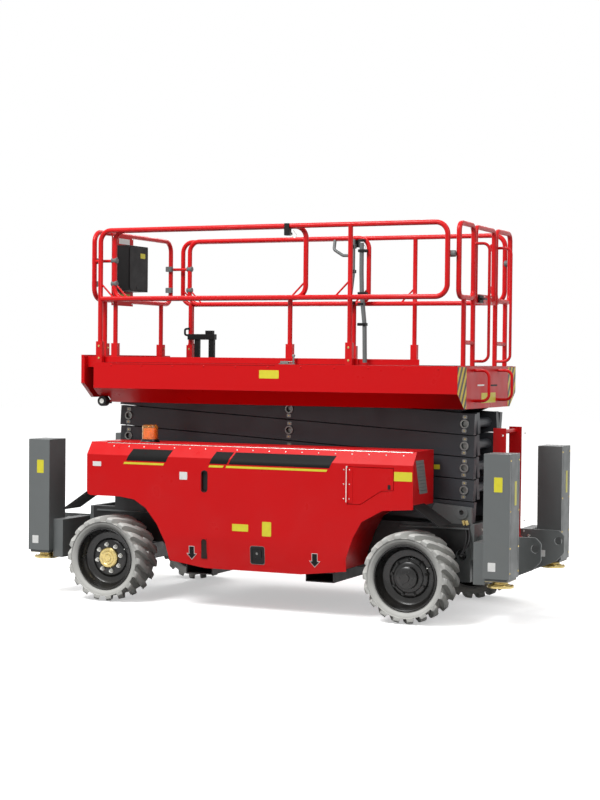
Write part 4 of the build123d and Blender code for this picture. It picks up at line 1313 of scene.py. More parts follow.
    def rim(self) -> Piece:
        """Builds the stepped barrel and the dished disc.

        Returns:
            The piece.
        """
        form = Form()
        half, flange, barrel = self.half, self.flange, self.barrel
        depth = half - self.disc_depth
        lip = half - 0.022
        outer = [
            (flange, lip), (flange - 0.004, lip + 0.004), (flange - 0.010, lip + 0.001),
            (flange - 0.013, lip - 0.012), (barrel + 0.014, lip - 0.028), (barrel + 0.010, lip - 0.052),
            (barrel, lip - 0.060), (barrel - 0.002, depth + 0.016),
        ]
        disc = [
            (barrel - 0.012, depth + 0.004), (barrel - 0.03, depth + 0.001), (0.152, depth - 0.004),
            (0.142, depth + 0.006), (0.128, depth + 0.012), (0.07, depth + 0.012), (0.07, depth - 0.004),
            (0.13, depth - 0.006), (barrel - 0.03, depth - 0.018), (barrel - 0.004, depth - 0.018),
        ]
        inner = [
            (barrel - 0.004, -lip + 0.05), (flange - 0.013, -lip + 0.012), (flange - 0.010, -lip - 0.001),
            (flange, -lip), (flange - 0.002, -lip + 0.01), (barrel + 0.01, -lip + 0.03),
            (barrel + 0.008, lip - 0.06), (flange - 0.003, lip - 0.01),
        ]
        form.spin([*outer, *disc, *inner], self.at, 96)
        return form.done(f"{self.body}_rim", BLACK, self.body, 50.0, False)

    def hub(self) -> list[Piece]:
        """Builds the hub, its nuts and the valve.

        Returns:
            The pieces.
        """
        depth = self.half - self.disc_depth + 0.012
        form = Form()
        front = self.end == "front"
        if front:
            form.spin([
                (0.0, depth), (0.080, depth), (0.079, depth + 0.018), (0.071, depth + 0.026),
                (0.055, depth + 0.027), (0.048, depth + 0.021), (0.030, depth + 0.021),
                (0.026, depth + 0.026), (0.0, depth + 0.027),
            ], self.at, 48)
            nuts, circle, size, nut_depth, plated, finish = 8, 0.104, 1.0, depth, BRIGHT, ZINC
        else:
            form.spin([
                (0.0, depth - 0.01), (0.115, depth - 0.01), (0.113, depth + 0.012), (0.104, depth + 0.02),
                (0.084, depth + 0.022), (0.080, depth + 0.052), (0.070, depth + 0.060),
                (0.030, depth + 0.062), (0.028, depth + 0.070), (0.0, depth + 0.071),
            ], self.at, 48)
            nuts, circle, size, nut_depth, plated, finish = 9, 0.128, 0.8, depth - 0.004, BLACK, BLACK
        hub = form.done(f"{self.body}_hub", finish, self.body, 40.0, False)
        facing = tuple(self.at.to_3x3() @ Vector((0.0, 0.0, 1.0)))
        spots = [self.at @ Vector((x, y, nut_depth)) for x, y in ring_of(circle, nuts, start=0.2)]
        seats = [Seat(tuple(spot), facing) for spot in spots]
        pieces = [
            hub, self.rows.lay(f"{self.body}_nuts", seats, self.shapes.nut, plated, self.body, size, 0.4)
        ]
        if not front:
            spots = [self.at @ Vector((x, y, depth + 0.060)) for x, y in ring_of(0.052, 6)]
            plugs = [Seat(tuple(spot), facing) for spot in spots]
            pieces.append(
                self.rows.lay(f"{self.body}_cover_bolts", plugs, self.shapes.bolt, CHARCOAL, self.body, 0.8)
            )
        valve = Form()
        ends = [self.at @ Vector((*self.valve, depth + step)) for step in (-0.012, 0.028)]
        valve.rod(tuple(ends[0]), tuple(ends[1]), 0.0045)
        pieces.append(valve.done(f"{self.body}_valve", BRIGHT, self.body))
        return pieces


# ------------------------------------------------------------------ fittings


def label(form: Form, spot: Point, facing: Point, width: float, height: float, up: Point = ABOVE) -> Form:
    """Adds a blank film label with round corners.

    Args:
        form: What it is added to.
        spot: Its middle, on the surface.
        facing: The surface's normal.
        width: Its width.
        height: Its height.
        up: What its height leans to.

    Returns:
        The form.
    """
    return form.plate(
        soft_box(width, height, min(width, height) * 0.08), FILM, frame_of(spot, facing, up), 0.0
    )


def arrow(tip: float, neck: float, tail: float, barb: float, shaft: float) -> list[Flat]:
    """Gives the outline of an arrow that points down.

    Args:
        tip: The height of its tip.
        neck: The height at which head and shaft meet.
        tail: The height of its end.
        barb: Half the width of its head.
        shaft: Half the width of its shaft.

    Returns:
        The outline, anticlockwise.
    """
    right = [(barb, neck), (shaft, neck), (shaft, tail)]
    return [(0.0, tip), *right, *[(-x, y) for x, y in reversed(right)]]


@dataclass
class Hood(SidePart):
    """A side cover's hinge, latch, vents, bars and labels.

    Args:
        face: The cover's upright face from the centre line.
        fold: The height at which the cover folds in.
        top: The height of its upper edge.
        top_face: The upper edge from the centre line.
        hinge_front: Where the piano hinge starts along X.
        hinge_rear: Where it ends.
        bolt_pitch: From one hinge screw to the next.
        vent_x: Where the grip and the mesh are along X.
        slot_z: The grip's middle height.
        mesh_z: The mesh's middle height.
        latch_x: Where the latch is along X.
        latch_z: Its middle height.
        door_x: Where the bright strip beside the door is along X.
        lower_fold: The height under which the cover leans in.
        lower_lean: How far it leans in per metre.
        bar_lean: How far the bars lean to the rear per metre.
        bar: The black bars' lower and upper edge.
        line: The yellow lines' lower and upper edge.
        plates: Each bar's two ends along X and its line's two ends.
        yellow_labels: Each one's place in X and Z, its width and its height.
        white_labels: The same.
        arrows: Where the two arrows are along X.
        arrow_z: Their middle height.
    """

    face: float = 0.8805
    fold: float = 1.134
    top: float = 1.229
    top_face: float = 0.808
    hinge_front: float = -1.245
    hinge_rear: float = 1.272
    bolt_pitch: float = 0.130
    vent_x: float = -0.368
    slot_z: float = 0.961
    mesh_z: float = 0.455
    latch_x: float = 0.076
    latch_z: float = 0.430
    door_x: float = 0.787
    lower_fold: float = 0.550
    lower_lean: float = 0.069
    bar_lean: float = 0.48
    bar: Flat = (1.095, 1.184)
    line: Flat = (1.068, 1.084)
    plates: Table = (
        (-1.041, -0.697, -1.065, -0.718), (-0.327, -0.180, -0.333, -0.213), (-0.165, 0.650, -0.190, 0.628)
    )
    yellow_labels: Table = (
        (-0.0645, 0.6275, 0.133, 0.053), (0.153, 0.6275, 0.074, 0.107), (1.2215, 1.054, 0.137, 0.066)
    )
    white_labels: Table = ((-1.300, 1.062, 0.074, 0.036), (-0.545, 0.996, 0.066, 0.058))
    arrows: Flat = (-0.473, 0.538)
    arrow_z: float = 0.418
    body: str = field(init=False)

    def __post_init__(self) -> None:
        """Works out the side that it faces."""
        self.body = f"side_cover_{self.side}"
        self.out = SIDES[self.side]
        self.facing = (0.0, self.out, 0.0)
        lean = Vector((0.0, self.out * (self.top - self.fold), self.face - self.top_face)).normalized()
        self.strip_facing = tuple(lean)
        self.lower_facing = tuple(Vector((0.0, self.out, -self.lower_lean)).normalized())

    def on_strip(self, x: float, share: float) -> Point:
        """Gives a point on the folded strip, from its fold at 0 to its edge at 1."""
        y = self.out * (self.face + (self.top_face - self.face) * share)
        return (x, y, self.fold + (self.top - self.fold) * share)

    def build(self) -> list[Piece]:
        """Builds every fitting of the cover.

        Returns:
            The pieces.
        """
        pieces = [*self.hinge(), *self.vents(), *self.latch(), *self.bars(), *self.labels()]
        if self.side == "left":
            pieces += self.door_edges()
        return pieces

    def hinge(self) -> list[Piece]:
        """Builds the piano hinge's leaf and its screws along the upper edge.

        Returns:
            The pieces.
        """
        leaf = Form()
        middle = (self.hinge_front + self.hinge_rear) / 2.0
        at = frame_of(self.on_strip(middle, 0.955), self.strip_facing, ABOVE)
        leaf.plate(soft_box(self.hinge_rear - self.hinge_front, 0.007, 0.002), 0.0010, at, 0.0003)
        count = round((self.hinge_rear - self.hinge_front) / self.bolt_pitch)
        step = (self.hinge_rear - self.hinge_front) / count
        seats = [
            Seat(self.on_strip(self.hinge_front + step * (i + 0.5), 0.70), self.strip_facing)
            for i in range(count)
        ]
        screws = self.rows.lay(
            f"{self.body}_hinge_screws", seats, self.shapes.button, BRIGHT, self.body, 0.62
        )
        return [leaf.done(f"{self.body}_piano_hinge", BRIGHT, self.body), screws]

    def vents(self) -> list[Piece]:
        """Builds the recessed grip above, and the mesh below with its frame.

        Returns:
            The pieces.
        """
        grip, mesh, frame_piece = Form(), Form(), Form()
        inner = self.face - 0.010
        at = frame_of((self.vent_x, self.out * self.face, self.slot_z), self.facing)
        grip.plate(soft_box(0.056, 0.166, 0.027), 0.0016, at, 0.0005, [soft_box(0.047, 0.150, 0.022)])
        back = frame_of((self.vent_x, self.out * (inner - 0.012), self.slot_z), self.facing)
        grip.plate(soft_box(0.0495, 0.150, 0.010), 0.004, back, 0.001)
        low = frame_of((self.vent_x, self.out * (self.face - 0.0105), self.mesh_z), self.facing)
        mesh.plate(soft_box(0.0495, 0.1495, 0.004), 0.003, low, 0.0005)
        for i in range(7):
            z = self.mesh_z - 0.063 + 0.021 * i
            y = self.out * (self.face - 0.0065)
            mesh.rod((self.vent_x - 0.0235, y, z), (self.vent_x + 0.0235, y, z), 0.0016, 8)
        rim = frame_of(
            (self.vent_x, self.out * self.lower_face(self.mesh_z), self.mesh_z), self.lower_facing
        )
        frame_piece.plate(
            soft_box(0.060, 0.160, 0.029), 0.0012, rim, 0.0004, [soft_box(0.047, 0.147, 0.022)]
        )
        made = [
            grip.done(f"{self.body}_grip", PLASTIC, self.body),
            mesh.done(f"{self.body}_mesh", GAUZE, self.body),
        ]
        return [*made, frame_piece.done(f"{self.body}_mesh_frame", RED, self.body)]

    def lower_face(self, z: float) -> float:
        """Gives how far the lower face stands from the centre line at a height."""
        return self.face - max(0.0, self.lower_fold - z) * self.lower_lean

    def latch(self) -> list[Piece]:
        """Builds the paddle latch on the lower face, its bright edge and its key.

        Returns:
            The pieces.
        """
        form, bright = Form(), Form()
        spot = (self.latch_x, self.out * (self.lower_face(self.latch_z) - 0.0005), self.latch_z)
        at = frame_of(spot, self.lower_facing)
        bright.plate(soft_box(0.120, 0.138, 0.018), 0.0014, at, 0.0004, [soft_box(0.106, 0.124, 0.014)])
        form.plate(soft_box(0.114, 0.132, 0.016), 0.0045, at, 0.0012, [soft_box(0.086, 0.100, 0.012)])
        form.plate(soft_box(0.090, 0.104, 0.012), 0.0012, at, 0.0)
        form.plate(soft_box(0.068, 0.060, 0.008, (0.0, 0.010)), 0.0085, at, 0.0025)
        key = at @ Matrix.Translation((0.0, 0.014, 0.0))
        bright.spin([(0.0, 0.008), (0.0095, 0.008), (0.009, 0.0112), (0.0, 0.0112)], key, 20)
        return [
            form.done(f"{self.body}_latch", PLASTIC, self.body),
            bright.done(f"{self.body}_latch_trim", STEEL, self.body),
        ]

    def wrapped(self, form: Form, ends: Flat, edges: Flat, lift: float = 0.0006) -> Form:
        """Adds a slanting film bar that follows the cover over its fold.

        Args:
            form: What it is added to.
            ends: Its lower front and lower rear corner along X.
            edges: The heights of its lower and upper edge.
            lift: How far it stands off the cover.

        Returns:
            The form.
        """
        part = bmesh.new()
        front, rear = ends
        low_edge, high_edge = edges
        skin = 0.0001
        rings = []
        for z in sorted({low_edge, high_edge, min(max(self.fold, low_edge), high_edge)}):
            share = max(0.0, (z - self.fold) / (self.top - self.fold))
            outward = Vector(self.strip_facing) if share else Vector((0.0, self.out, 0.1)).normalized()
            ring = []
            for x, off in ((front, skin), (rear, skin), (rear, lift), (front, lift)):
                along = x + (z - low_edge) * self.bar_lean
                base = self.on_strip(along, share) if share else (along, self.out * self.face, z)
                ring.append(part.verts.new(Vector(base) + outward * off))
            rings.append(ring)
        for low, high in zip(rings, rings[1:]):
            for i in range(4):
                part.faces.new((low[i], low[(i + 1) % 4], high[(i + 1) % 4], high[i]))
        part.faces.new(rings[0])
        part.faces.new(rings[-1][::-1])
        return form.join(part)

    def bars(self) -> list[Piece]:
        """Builds the wordless black bars with their yellow underlines.

        Returns:
            The pieces.
        """
        black, yellow = Form(), Form()
        for low, high, under_low, under_high in self.plates:
            self.wrapped(black, (low, high), self.bar)
            self.wrapped(yellow, (under_low, under_high), self.line)
        return [
            black.done(f"{self.body}_black_bars", INK, self.body),
            yellow.done(f"{self.body}_yellow_bars", YELLOW_LABEL, self.body),
        ]

    def labels(self) -> list[Piece]:
        """Builds the blank labels and the two arrows above the forklift pockets.

        Returns:
            The pieces.
        """
        yellow, white, ink = Form(), Form(), Form()
        y = self.out * self.face
        for form, table in ((yellow, self.yellow_labels), (white, self.white_labels)):
            for x, z, width, height in table:
                label(form, (x, y, z), self.facing, width, height)
        for x in self.arrows:
            at = frame_of((x, self.out * self.lower_face(self.arrow_z), self.arrow_z), self.lower_facing)
            white.plate(arrow(-0.052, -0.004, 0.052, 0.044, 0.023), 0.0008, at, 0.0)
            ink.plate(arrow(-0.047, -0.0075, 0.0485, 0.037, 0.0195), 0.0014, at, 0.0)
        return [
            yellow.done(f"{self.body}_yellow_labels", YELLOW_LABEL, self.body),
            white.done(f"{self.body}_white_labels", WHITE_LABEL, self.body),
            ink.done(f"{self.body}_ink", INK, self.body),
        ]

    def door_edges(self) -> list[Piece]:
        """Builds the bright edge strip beside the access door, its screws and the door's latch.

        Returns:
            The pieces.
        """
        strip, latch = Form(), Form()
        y = self.out * self.face
        strip.plate(
            soft_box(0.012, 0.262, 0.002), 0.0015, frame_of((self.door_x, y, 0.985), self.facing), 0.0004
        )
        offsets = [(x, z) for z in (-0.105, 0.0, 0.105) for x in (-0.022, 0.022)]
        seats = [Seat((self.door_x + x, y, 0.985 + z), self.facing) for x, z in offsets]
        screws = self.rows.lay(
            f"{self.body}_door_screws", seats, self.shapes.button, BRIGHT, self.body, 0.5
        )
        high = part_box("access_door")[1]
        latch.plate(
            soft_box(0.022, 0.034, 0.006), 0.0016, frame_of((high.x - 0.030, y, 0.975), self.facing), 0.0005
        )
        return [
            strip.done(f"{self.body}_door_strip", BRIGHT, self.body), screws,
            latch.done("door_latch", PLASTIC, "access_door"),
        ]


@dataclass
class Outrigger(CornerPart):
    """The caps, screws and labels of one outrigger housing."""

    def __post_init__(self) -> None:
        """Reads the housing's box."""
        self.name = f"outrigger_{self.end}_{self.side}"
        self.low, self.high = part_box(f"outrigger_housing_{self.end}_{self.side}")
        self.out = SIDES[self.side]
        self.way = ENDS[self.end]
        self.middle = (self.low + self.high) / 2.0
        self.face_y = self.low.y if self.out < 0 else self.high.y
        self.face_x = self.high.x if self.way > 0 else self.low.x

    def build(self) -> list[Piece]:
        """Builds the fittings.

        Returns:
            The pieces.
        """
        return [*self.lid(), self.screws(), *self.labels(), self.shade_line(), self.foot()]

    def lid(self) -> list[Piece]:
        """Builds the folded lid plate, the black cap on it and its bright disc.

        Returns:
            The pieces.
        """
        form = Form()
        low, high = self.low, self.high
        form.block(
            (low.x + 0.012, low.y + 0.012, high.z - 0.004),
            (high.x - 0.012, high.y - 0.012, high.z - 0.0004), 0.001,
        )
        at = frame_of((self.middle.x, self.middle.y, high.z - 0.03), ABOVE, FAR)
        form.spin([
            (0.028, 0.0), (0.036, 0.0), (0.036, 0.0285), (0.033, 0.0298), (0.030, 0.0298), (0.028, 0.027)
        ], at, 32)
        disc = Form().spin([
            (0.0, 0.020), (0.0285, 0.020), (0.0285, 0.0275), (0.024, 0.0290), (0.0, 0.0293)
        ], at, 32)
        return [
            form.done(f"{self.name}_cap", PLASTIC, "chassis"),
            disc.done(f"{self.name}_cap_disc", BRIGHT, "chassis"),
        ]

    def screws(self) -> Piece:
        """Sets plated screws along the edges of the end face.

        Returns:
            The piece.
        """
        low, high = self.low, self.high
        heights = (high.z - 0.045, high.z - 0.40, low.z + 0.22, low.z + 0.045)
        spots = [(self.face_x, y, z) for z in heights for y in (low.y + 0.020, high.y - 0.020)]
        seats = [Seat(spot, (self.way, 0.0, 0.0)) for spot in spots]
        return self.rows.lay(f"{self.name}_screws", seats, self.shapes.button, ZINC, "chassis", 0.72)

    def labels(self) -> list[Piece]:
        """Builds the blank yellow and white labels.

        Returns:
            The pieces.
        """
        yellow, white = Form(), Form()
        facing = (0.0, self.out, 0.0)
        outward = (self.way, 0.0, 0.0)
        label(yellow, (self.middle.x + 0.012, self.face_y, self.high.z - 0.215), facing, 0.062, 0.104)
        label(white, (self.middle.x - 0.030, self.face_y, self.low.z + 0.085), facing, 0.056, 0.062)
        if self.end == "rear":
            label(yellow, (self.face_x, self.middle.y + 0.02, self.low.z + 0.60), outward, 0.046, 0.170)
        return [
            yellow.done(f"{self.name}_yellow_labels", YELLOW_LABEL, "chassis"),
            white.done(f"{self.name}_white_label", WHITE_LABEL, "chassis"),
        ]

    def shade_line(self) -> Piece:
        """Builds the dark line beside each corner of the housing, painted shade at the sheet's fold.

        Returns:
            The piece.
        """
        form = Form()
        low, high, x = self.low, self.high, self.face_x
        # charcoal strips painted as the shade along each fold of the end face
        for y in (low.y + 0.036, high.y - 0.036):
            form.block((x - 0.0004, y - 0.0012, low.z + 0.02), (x + 0.0004, y + 0.0012, high.z - 0.02), 0.0)
        return form.done(f"{self.name}_fold_lines", CHARCOAL, "chassis")

    def foot(self) -> Piece:
        """Builds the plated ball joint and collar above the pad.

        Returns:
            The piece.
        """
        leg = f"outrigger_leg_{self.end}_{self.side}"
        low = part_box(leg)[0]
        form = Form()
        at = frame_of((self.middle.x, self.middle.y, low.z + 0.0148), ABOVE, FAR)
        form.spin([
            (0.0, 0.0), (0.072, 0.0), (0.070, 0.006), (0.056, 0.011), (0.0535, 0.022), (0.047, 0.026),
            (0.0, 0.026),
        ], at, 40)
        bolt = [(0.0, 0.0), (0.008, 0.0), (0.0075, 0.004), (0.0, 0.0045)]
        for x, y in ring_of(0.083, 4, start=0.4):
            form.spin(bolt, Matrix.Translation(at @ Vector((x, y, 0.002))), 12)
        return form.done(f"{self.name}_foot_joint", ZINC, leg)


@dataclass
class Stack(Assembly):
    """Pin rings, keepers and labels of the folding arms.

    Args:
        rear: The fixed pins' place along X.
        front: The sliding pins' place along X, folded.
        lowest: The lowest pin's height.
        pitch: From one level to the next.
        levels: How many pairs of arms there are.
        arm_face: The outer arms' outer face from the centre line.
        pin_face: Where the pins end.
        labelled: The level whose outer arm has a label.
    """

    rear: float = 1.491
    front: float = -1.338
    lowest: float = 0.772
    pitch: float = 0.162
    levels: int = 5
    arm_face: float = 0.332
    pin_face: float = 0.339
    labelled: int = 3

    def build(self) -> list[Piece]:
        """Builds what shows on every arm.

        Returns:
            The pieces.
        """
        pieces = []
        middle = (self.rear + self.front) / 2.0
        for number in range(1, self.levels + 1):
            high = self.lowest + self.pitch * number
            low = high - self.pitch
            spots = [(middle, (high + low) / 2.0)]
            if number < self.levels:
                spots.append((self.rear, high))
            if number > 1:
                spots.append((self.front, low))
            pieces += self.rings(f"inner_arm_{number}", spots)
            slope = math.atan2(self.pitch, self.rear - self.front)
            keepers = [(self.rear, low, slope), (middle, (high + low) / 2.0, slope)]
            if number < self.levels:
                keepers.append((self.front, high, slope))
            pieces += self.keepers(f"outer_arm_{number}", keepers, number)
        return pieces

    def rings(self, body: str, spots: Sequence[Flat]) -> list[Piece]:
        """Builds the bright end rings of an arm's hollow pins.

        Args:
            body: The arm that carries the pins.
            spots: Each pin's place in X and Z.

        Returns:
            The pieces.
        """
        form = Form()
        for side in SIDES.values():
            for x, z in spots:
                at = frame_of((x, side * (self.pin_face - 0.003), z), (0.0, side, 0.0))
                form.spin([
                    (0.0225, 0.0), (0.0335, 0.0), (0.0335, 0.0032), (0.0322, 0.0046), (0.024, 0.0046),
                    (0.0225, 0.0034),
                ], at, 36)
                form.spin([(0.0, -0.03), (0.0215, -0.03), (0.0215, -0.022), (0.0, -0.022)], at, 24)
        return [form.done(f"{body}_pin_rings", STEEL, body)]

    def keepers(self, body: str, spots: Sequence[Point], number: int) -> list[Piece]:
        """Builds the plated keeper plates and their screws on an outer arm.

        Args:
            body: The outer arm.
            spots: Each pin's place in X and Z, and the arm's slope there.
            number: The arm's level.

        Returns:
            The pieces.
        """
        plates, seats = Form(), []
        for side in SIDES.values():
            for x, z, slope in spots:
                if number == 1 and x == self.rear:
                    continue
                for across in (-0.0505, 0.0505):
                    place_x = x + across * math.sin(slope)
                    place_z = z + across * math.cos(slope)
                    facing = (0.0, side, 0.0)
                    up = (math.sin(slope), 0.0, math.cos(slope))
                    at = frame_of((place_x, side * self.arm_face, place_z), facing, up)
                    plates.plate(soft_box(0.036, 0.027, 0.008), 0.0035, at, 0.0008)
                    seats.append(Seat((place_x, side * (self.arm_face + 0.0034), place_z), facing))
        made = []
        if number == self.labelled:
            film = label(Form(), (1.279, -self.arm_face, 1.098), NEAR, 0.046, 0.034)
            made.append(film.done(f"{body}_label", YELLOW_LABEL, body))
        made.append(plates.done(f"{body}_keepers", STEEL, body))
        made.append(self.rows.lay(f"{body}_keeper_screws", seats, self.shapes.button, ZINC, body, 0.62))
        return made


@dataclass
class Platform(Assembly):
    """Bars, labels, screws and fittings of the platform, its rails and its gate.

    Args:
        rear: The end plate's outer face along X.
        rail: The rails' distance from the centre line.
        extension_rail: The roll-out rails' distance from it.
        front_posts: Where the front post stands along X, near and far.
        middle_post: Where the middle posts stand.
        sliding_posts: Where the roll-out side rails' posts stand.
        extension_end: Where the roll-out end rail stands.
    """

    rear: float = 1.557
    rail: float = 0.679
    extension_rail: float = 0.6247
    front_posts: Flat = (-1.400, -1.310)
    middle_post: float = 0.715
    sliding_posts: Flat = (-1.295, 0.210)
    extension_end: float = -1.490

    def __post_init__(self) -> None:
        """Reads the frame's box."""
        self.low, self.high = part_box("platform_frame")
        self.face = self.high.y

    def build(self) -> list[Piece]:
        """Builds every fitting.

        Returns:
            The pieces.
        """
        return [
            *self.hazards(), *self.end_plate(), *self.beams(), *self.sockets(), *self.couplings(),
            self.latch(), self.stand(), *self.far_fittings(), *self.gate(), *self.rollers(),
        ]

    def hazards(self) -> list[Piece]:
        """Builds the striped films on the end plate's corners.

        Returns:
            The pieces.
        """
        pieces = []
        outer, inner, top, bottom = -0.697, -0.500, 1.836, 1.5345
        shape = [(outer, top), (outer, 1.643), (-0.549, bottom), (inner, bottom), (inner, top)]
        for side_name, side in SIDES.items():
            form = Form()
            form.plate([(side * -y, z) for y, z in shape], FILM, frame_of((self.rear, 0.0, 0.0), REAR), 0.0)
            pieces.append(form.done(f"hazard_film_{side_name}", HAZARD, "platform"))
        return pieces

    def end_plate(self) -> list[Piece]:
        """Builds the end plate's dark and bright slot plates, the dark one painted shade in its opening,
        and the platform's labels.

        Returns:
            The pieces.
        """
        slot_shade, pale, yellow = Form(), Form(), Form()
        # painted shade: a flat dark plate where the slot's opening lies in shade
        slot_shade.plate(soft_box(0.160, 0.012, 0.005), 0.0012, frame_of((self.rear, 0.147, 1.700), REAR), 0.0)
        pale.plate(soft_box(0.160, 0.012, 0.005), 0.0012, frame_of((self.rear, -0.167, 1.703), REAR), 0.0)
        label(yellow, (self.rear, 0.018, 1.608), REAR, 0.340, 0.075)
        label(yellow, (0.074, -self.face, 1.767), NEAR, 0.162, 0.062)
        return [
            slot_shade.done("end_plate_slot", INK, "platform"),
            pale.done("end_plate_bright_slot", BRIGHT, "platform"),
            yellow.done("platform_labels", YELLOW_LABEL, "platform"),
        ]

    def beams(self) -> list[Piece]:
        """Builds the dark lines painted as shade in the gaps along the side beams, and the screws along the
        beams.

        Returns:
            The pieces.
        """
        shade_line = Form()
        seats = []
        # painted shadow: a dark line in the gap between the roll-out deck's toe board and the near beam
        shade_line.block((-1.282, -self.face - 0.0004, 1.8315), (0.122, -self.face + 0.001, 1.8335), 0.0)
        for side in SIDES.values():
            y, start = side * 0.6565, self.low.x + 0.16
            # painted shade: dark lines in the joints where the deck meets the beams' tops
            shade_line.block((self.low.x + 0.01, y - 0.0025, 1.8432), (self.rear - 0.01, y + 0.0025, 1.8450), 0.0)
            spots = [(start + 0.27 * i, side * self.face, 1.822) for i in range(11)]
            seats += [Seat(spot, (0.0, side, 0.0)) for spot in spots]
        screws = self.rows.lay("beam_screws", seats, self.shapes.button, RED, "platform", 0.7)
        return [shade_line.done("beam_seam", INK, "platform"), screws]

    def sockets(self) -> list[Piece]:
        """Sets two bolts in each post's socket.

        Returns:
            The pieces.
        """
        fixed, sliding = [], []
        for front_post, side in zip(self.front_posts, SIDES.values()):
            for x in (front_post, self.middle_post):
                fixed += [Seat((x, side * self.face, z), (0.0, side, 0.0)) for z in (1.878, 1.972)]
            y = side * (self.extension_rail - 0.022)
            for x in self.sliding_posts:
                sliding += [Seat((x, y, z), (0.0, -side, 0.0)) for z in (1.868, 1.96)]
            sliding += [Seat((self.extension_end + 0.027, side * 0.458, z), REAR) for z in (1.868, 1.96)]
        return [
            self.rows.lay("post_screws", fixed, self.shapes.bolt, ZINC, "platform", 0.85),
            self.rows.lay("extension_post_screws", sliding, self.shapes.bolt, ZINC, "extension", 0.85),
        ]

    def couplings(self) -> list[Piece]:
        """Builds the grey clamps on the rail frames, the dark sliding clips and their wires.

        Returns:
            The pieces.
        """
        clamps, clips, wires, corners = Form(), Form(), Form(), Form()
        x = 0.209
        for side in SIDES.values():
            corners.rod((1.472, side * 0.652, 2.647), (1.516, side * 0.646, 2.647), 0.0245, 20, 0.004)
            for z in (2.640, 2.460):
                y = side * 0.600
                clamps.block((-1.520, y - 0.016, z - 0.022), (-1.462, y + 0.016, z + 0.022), 0.004)
                y = side * self.extension_rail
                clamps.rod((-1.330, y, z), (-1.282, y, z), 0.0235, 20, 0.003)
            y = side * self.rail
            clips.block((x - 0.020, y - 0.026, 2.800), (x + 0.020, y + 0.024, 2.8905), 0.004)
            clips.block((x - 0.012, y - side * 0.060, 2.806), (x + 0.012, y - side * 0.018, 2.826), 0.003)
            wires.tube([
                (x + 0.018, y, 2.815), (x + 0.06, y, 2.775), (x + 0.075, y, 2.80), (x + 0.045, y, 2.838)
            ], 0.0022, 0.012)
        return [
            clamps.done("rail_clamps", GREY, "extension"),
            corners.done("corner_clamps", GREY, "platform"),
            clips.done("sliding_clips", PLASTIC, "platform"),
            wires.done("clip_wires", BRIGHT, "platform"),
        ]

    def latch(self) -> Piece:
        """Builds the deck's slide latch on the near beam.

        Returns:
            The piece.
        """
        form = Form()
        y = -self.face + 0.020
        form.block((0.150, y - 0.013, 1.8435), (0.282, y + 0.013, 1.8500), 0.0015)
        form.block((0.160, y - 0.009, 1.8498), (0.226, y + 0.009, 1.8680), 0.003)
        form.rod((0.266, y, 1.8435), (0.266, y, 1.906), 0.0070, 20)
        form.rod((0.160, y, 1.862), (0.276, y, 1.862), 0.005, 16)
        form.spin([
            (0.0, 0.0), (0.010, 0.002), (0.013, 0.010), (0.010, 0.019), (0.0, 0.021)
        ], frame_of((0.266, y, 1.898), ABOVE, FAR), 24)
        return form.done("deck_latch", STEEL, "platform")

    def stand(self) -> Piece:
        """Builds the dark bracket for the control box's second place.

        Returns:
            The piece.
        """
        form = Form()
        y = 0.600
        form.block((-1.297, y - 0.030, 2.040), (-1.040, y + 0.020, 2.088), 0.006)
        form.block((-1.235, y - 0.020, 1.8305), (-1.190, y + 0.014, 2.045), 0.004)
        form.block((-1.100, y - 0.020, 1.8305), (-1.050, y + 0.014, 2.045), 0.004)
        form.tube([
            (-1.297, y, 2.075), (-1.335, y, 2.082), (-1.335, y, 2.130), (-1.290, y, 2.135)
        ], 0.009, 0.015)
        form.block((-1.130, y - 0.024, 2.088), (-1.060, y + 0.016, 2.118), 0.004)
        return form.done("control_stand", PLASTIC, "extension")

    def far_fittings(self) -> list[Piece]:
        """Builds the grey conduit and the push handle on the far sliding rail.

        Returns:
            The pieces.
        """
        grey, black = Form(), Form()
        y = self.extension_rail
        grey.tube([
            (0.287, y - 0.040, 2.830), (0.287, y - 0.040, 2.60), (0.292, y - 0.040, 2.411),
            (0.317, y - 0.036, 2.167), (0.320, y - 0.030, 1.8600),
        ], 0.018, 0.06)
        grey.tube([
            (0.036, y, 2.868), (0.042, y - 0.036, 2.780), (0.123, y - 0.042, 2.730),
            (0.216, y - 0.042, 2.728),
        ], 0.0132, 0.03)
        grey.tube([
            (0.218, y - 0.042, 2.860), (0.217, y - 0.042, 2.574), (0.193, y - 0.042, 2.371),
            (0.194, y - 0.042, 2.297),
        ], 0.0132, 0.08)
        for x, z in ((0.205, 2.80), (0.205, 2.60), (0.186, 2.345)):
            black.block((x, y - 0.062, z - 0.014), (0.225, y + 0.004, z + 0.014), 0.003)
        for z in (2.765, 2.42, 2.17):
            black.block((0.262, y - 0.062, z - 0.012), (0.336, y - 0.012, z + 0.012), 0.004)
        for z in (2.335, 2.85):
            black.block((0.262, y - 0.060, z - 0.010), (0.312, y + 0.004, z + 0.010), 0.003)
        return [
            grey.done("push_handle", GREY, "extension"),
            black.done("push_handle_clips", PLASTIC, "extension"),
        ]

    def gate(self) -> list[Piece]:
        """Builds the gate's latch, its bolt and the screws on its bar.

        Returns:
            The pieces.
        """
        dark, bright = Form(), Form()
        x = 1.5297
        dark.block((x + 0.012, -0.215, 2.312), (x + 0.026, -0.120, 2.368), 0.004)
        dark.tube([
            (x + 0.024, -0.200, 2.340), (x + 0.050, -0.200, 2.340), (x + 0.050, -0.095, 2.340)
        ], 0.0075, 0.014)
        dark.block((x - 0.030, -0.240, 2.318), (x - 0.012, -0.130, 2.362), 0.004)
        bright.rod((x - 0.002, -0.262, 2.340), (x - 0.002, -0.245, 2.340), 0.008)
        seats = [Seat((x + 0.012, y, z), REAR) for y in (-0.06, 0.02, 0.10) for z in (2.318, 2.362)]
        screws = self.rows.lay("gate_screws", seats, self.shapes.bolt, BRIGHT, "entry_gate", 0.6)
        return [
            dark.done("gate_latch", PLASTIC, "entry_gate"), bright.done("gate_bolt", BRIGHT, "entry_gate"),
            screws,
        ]

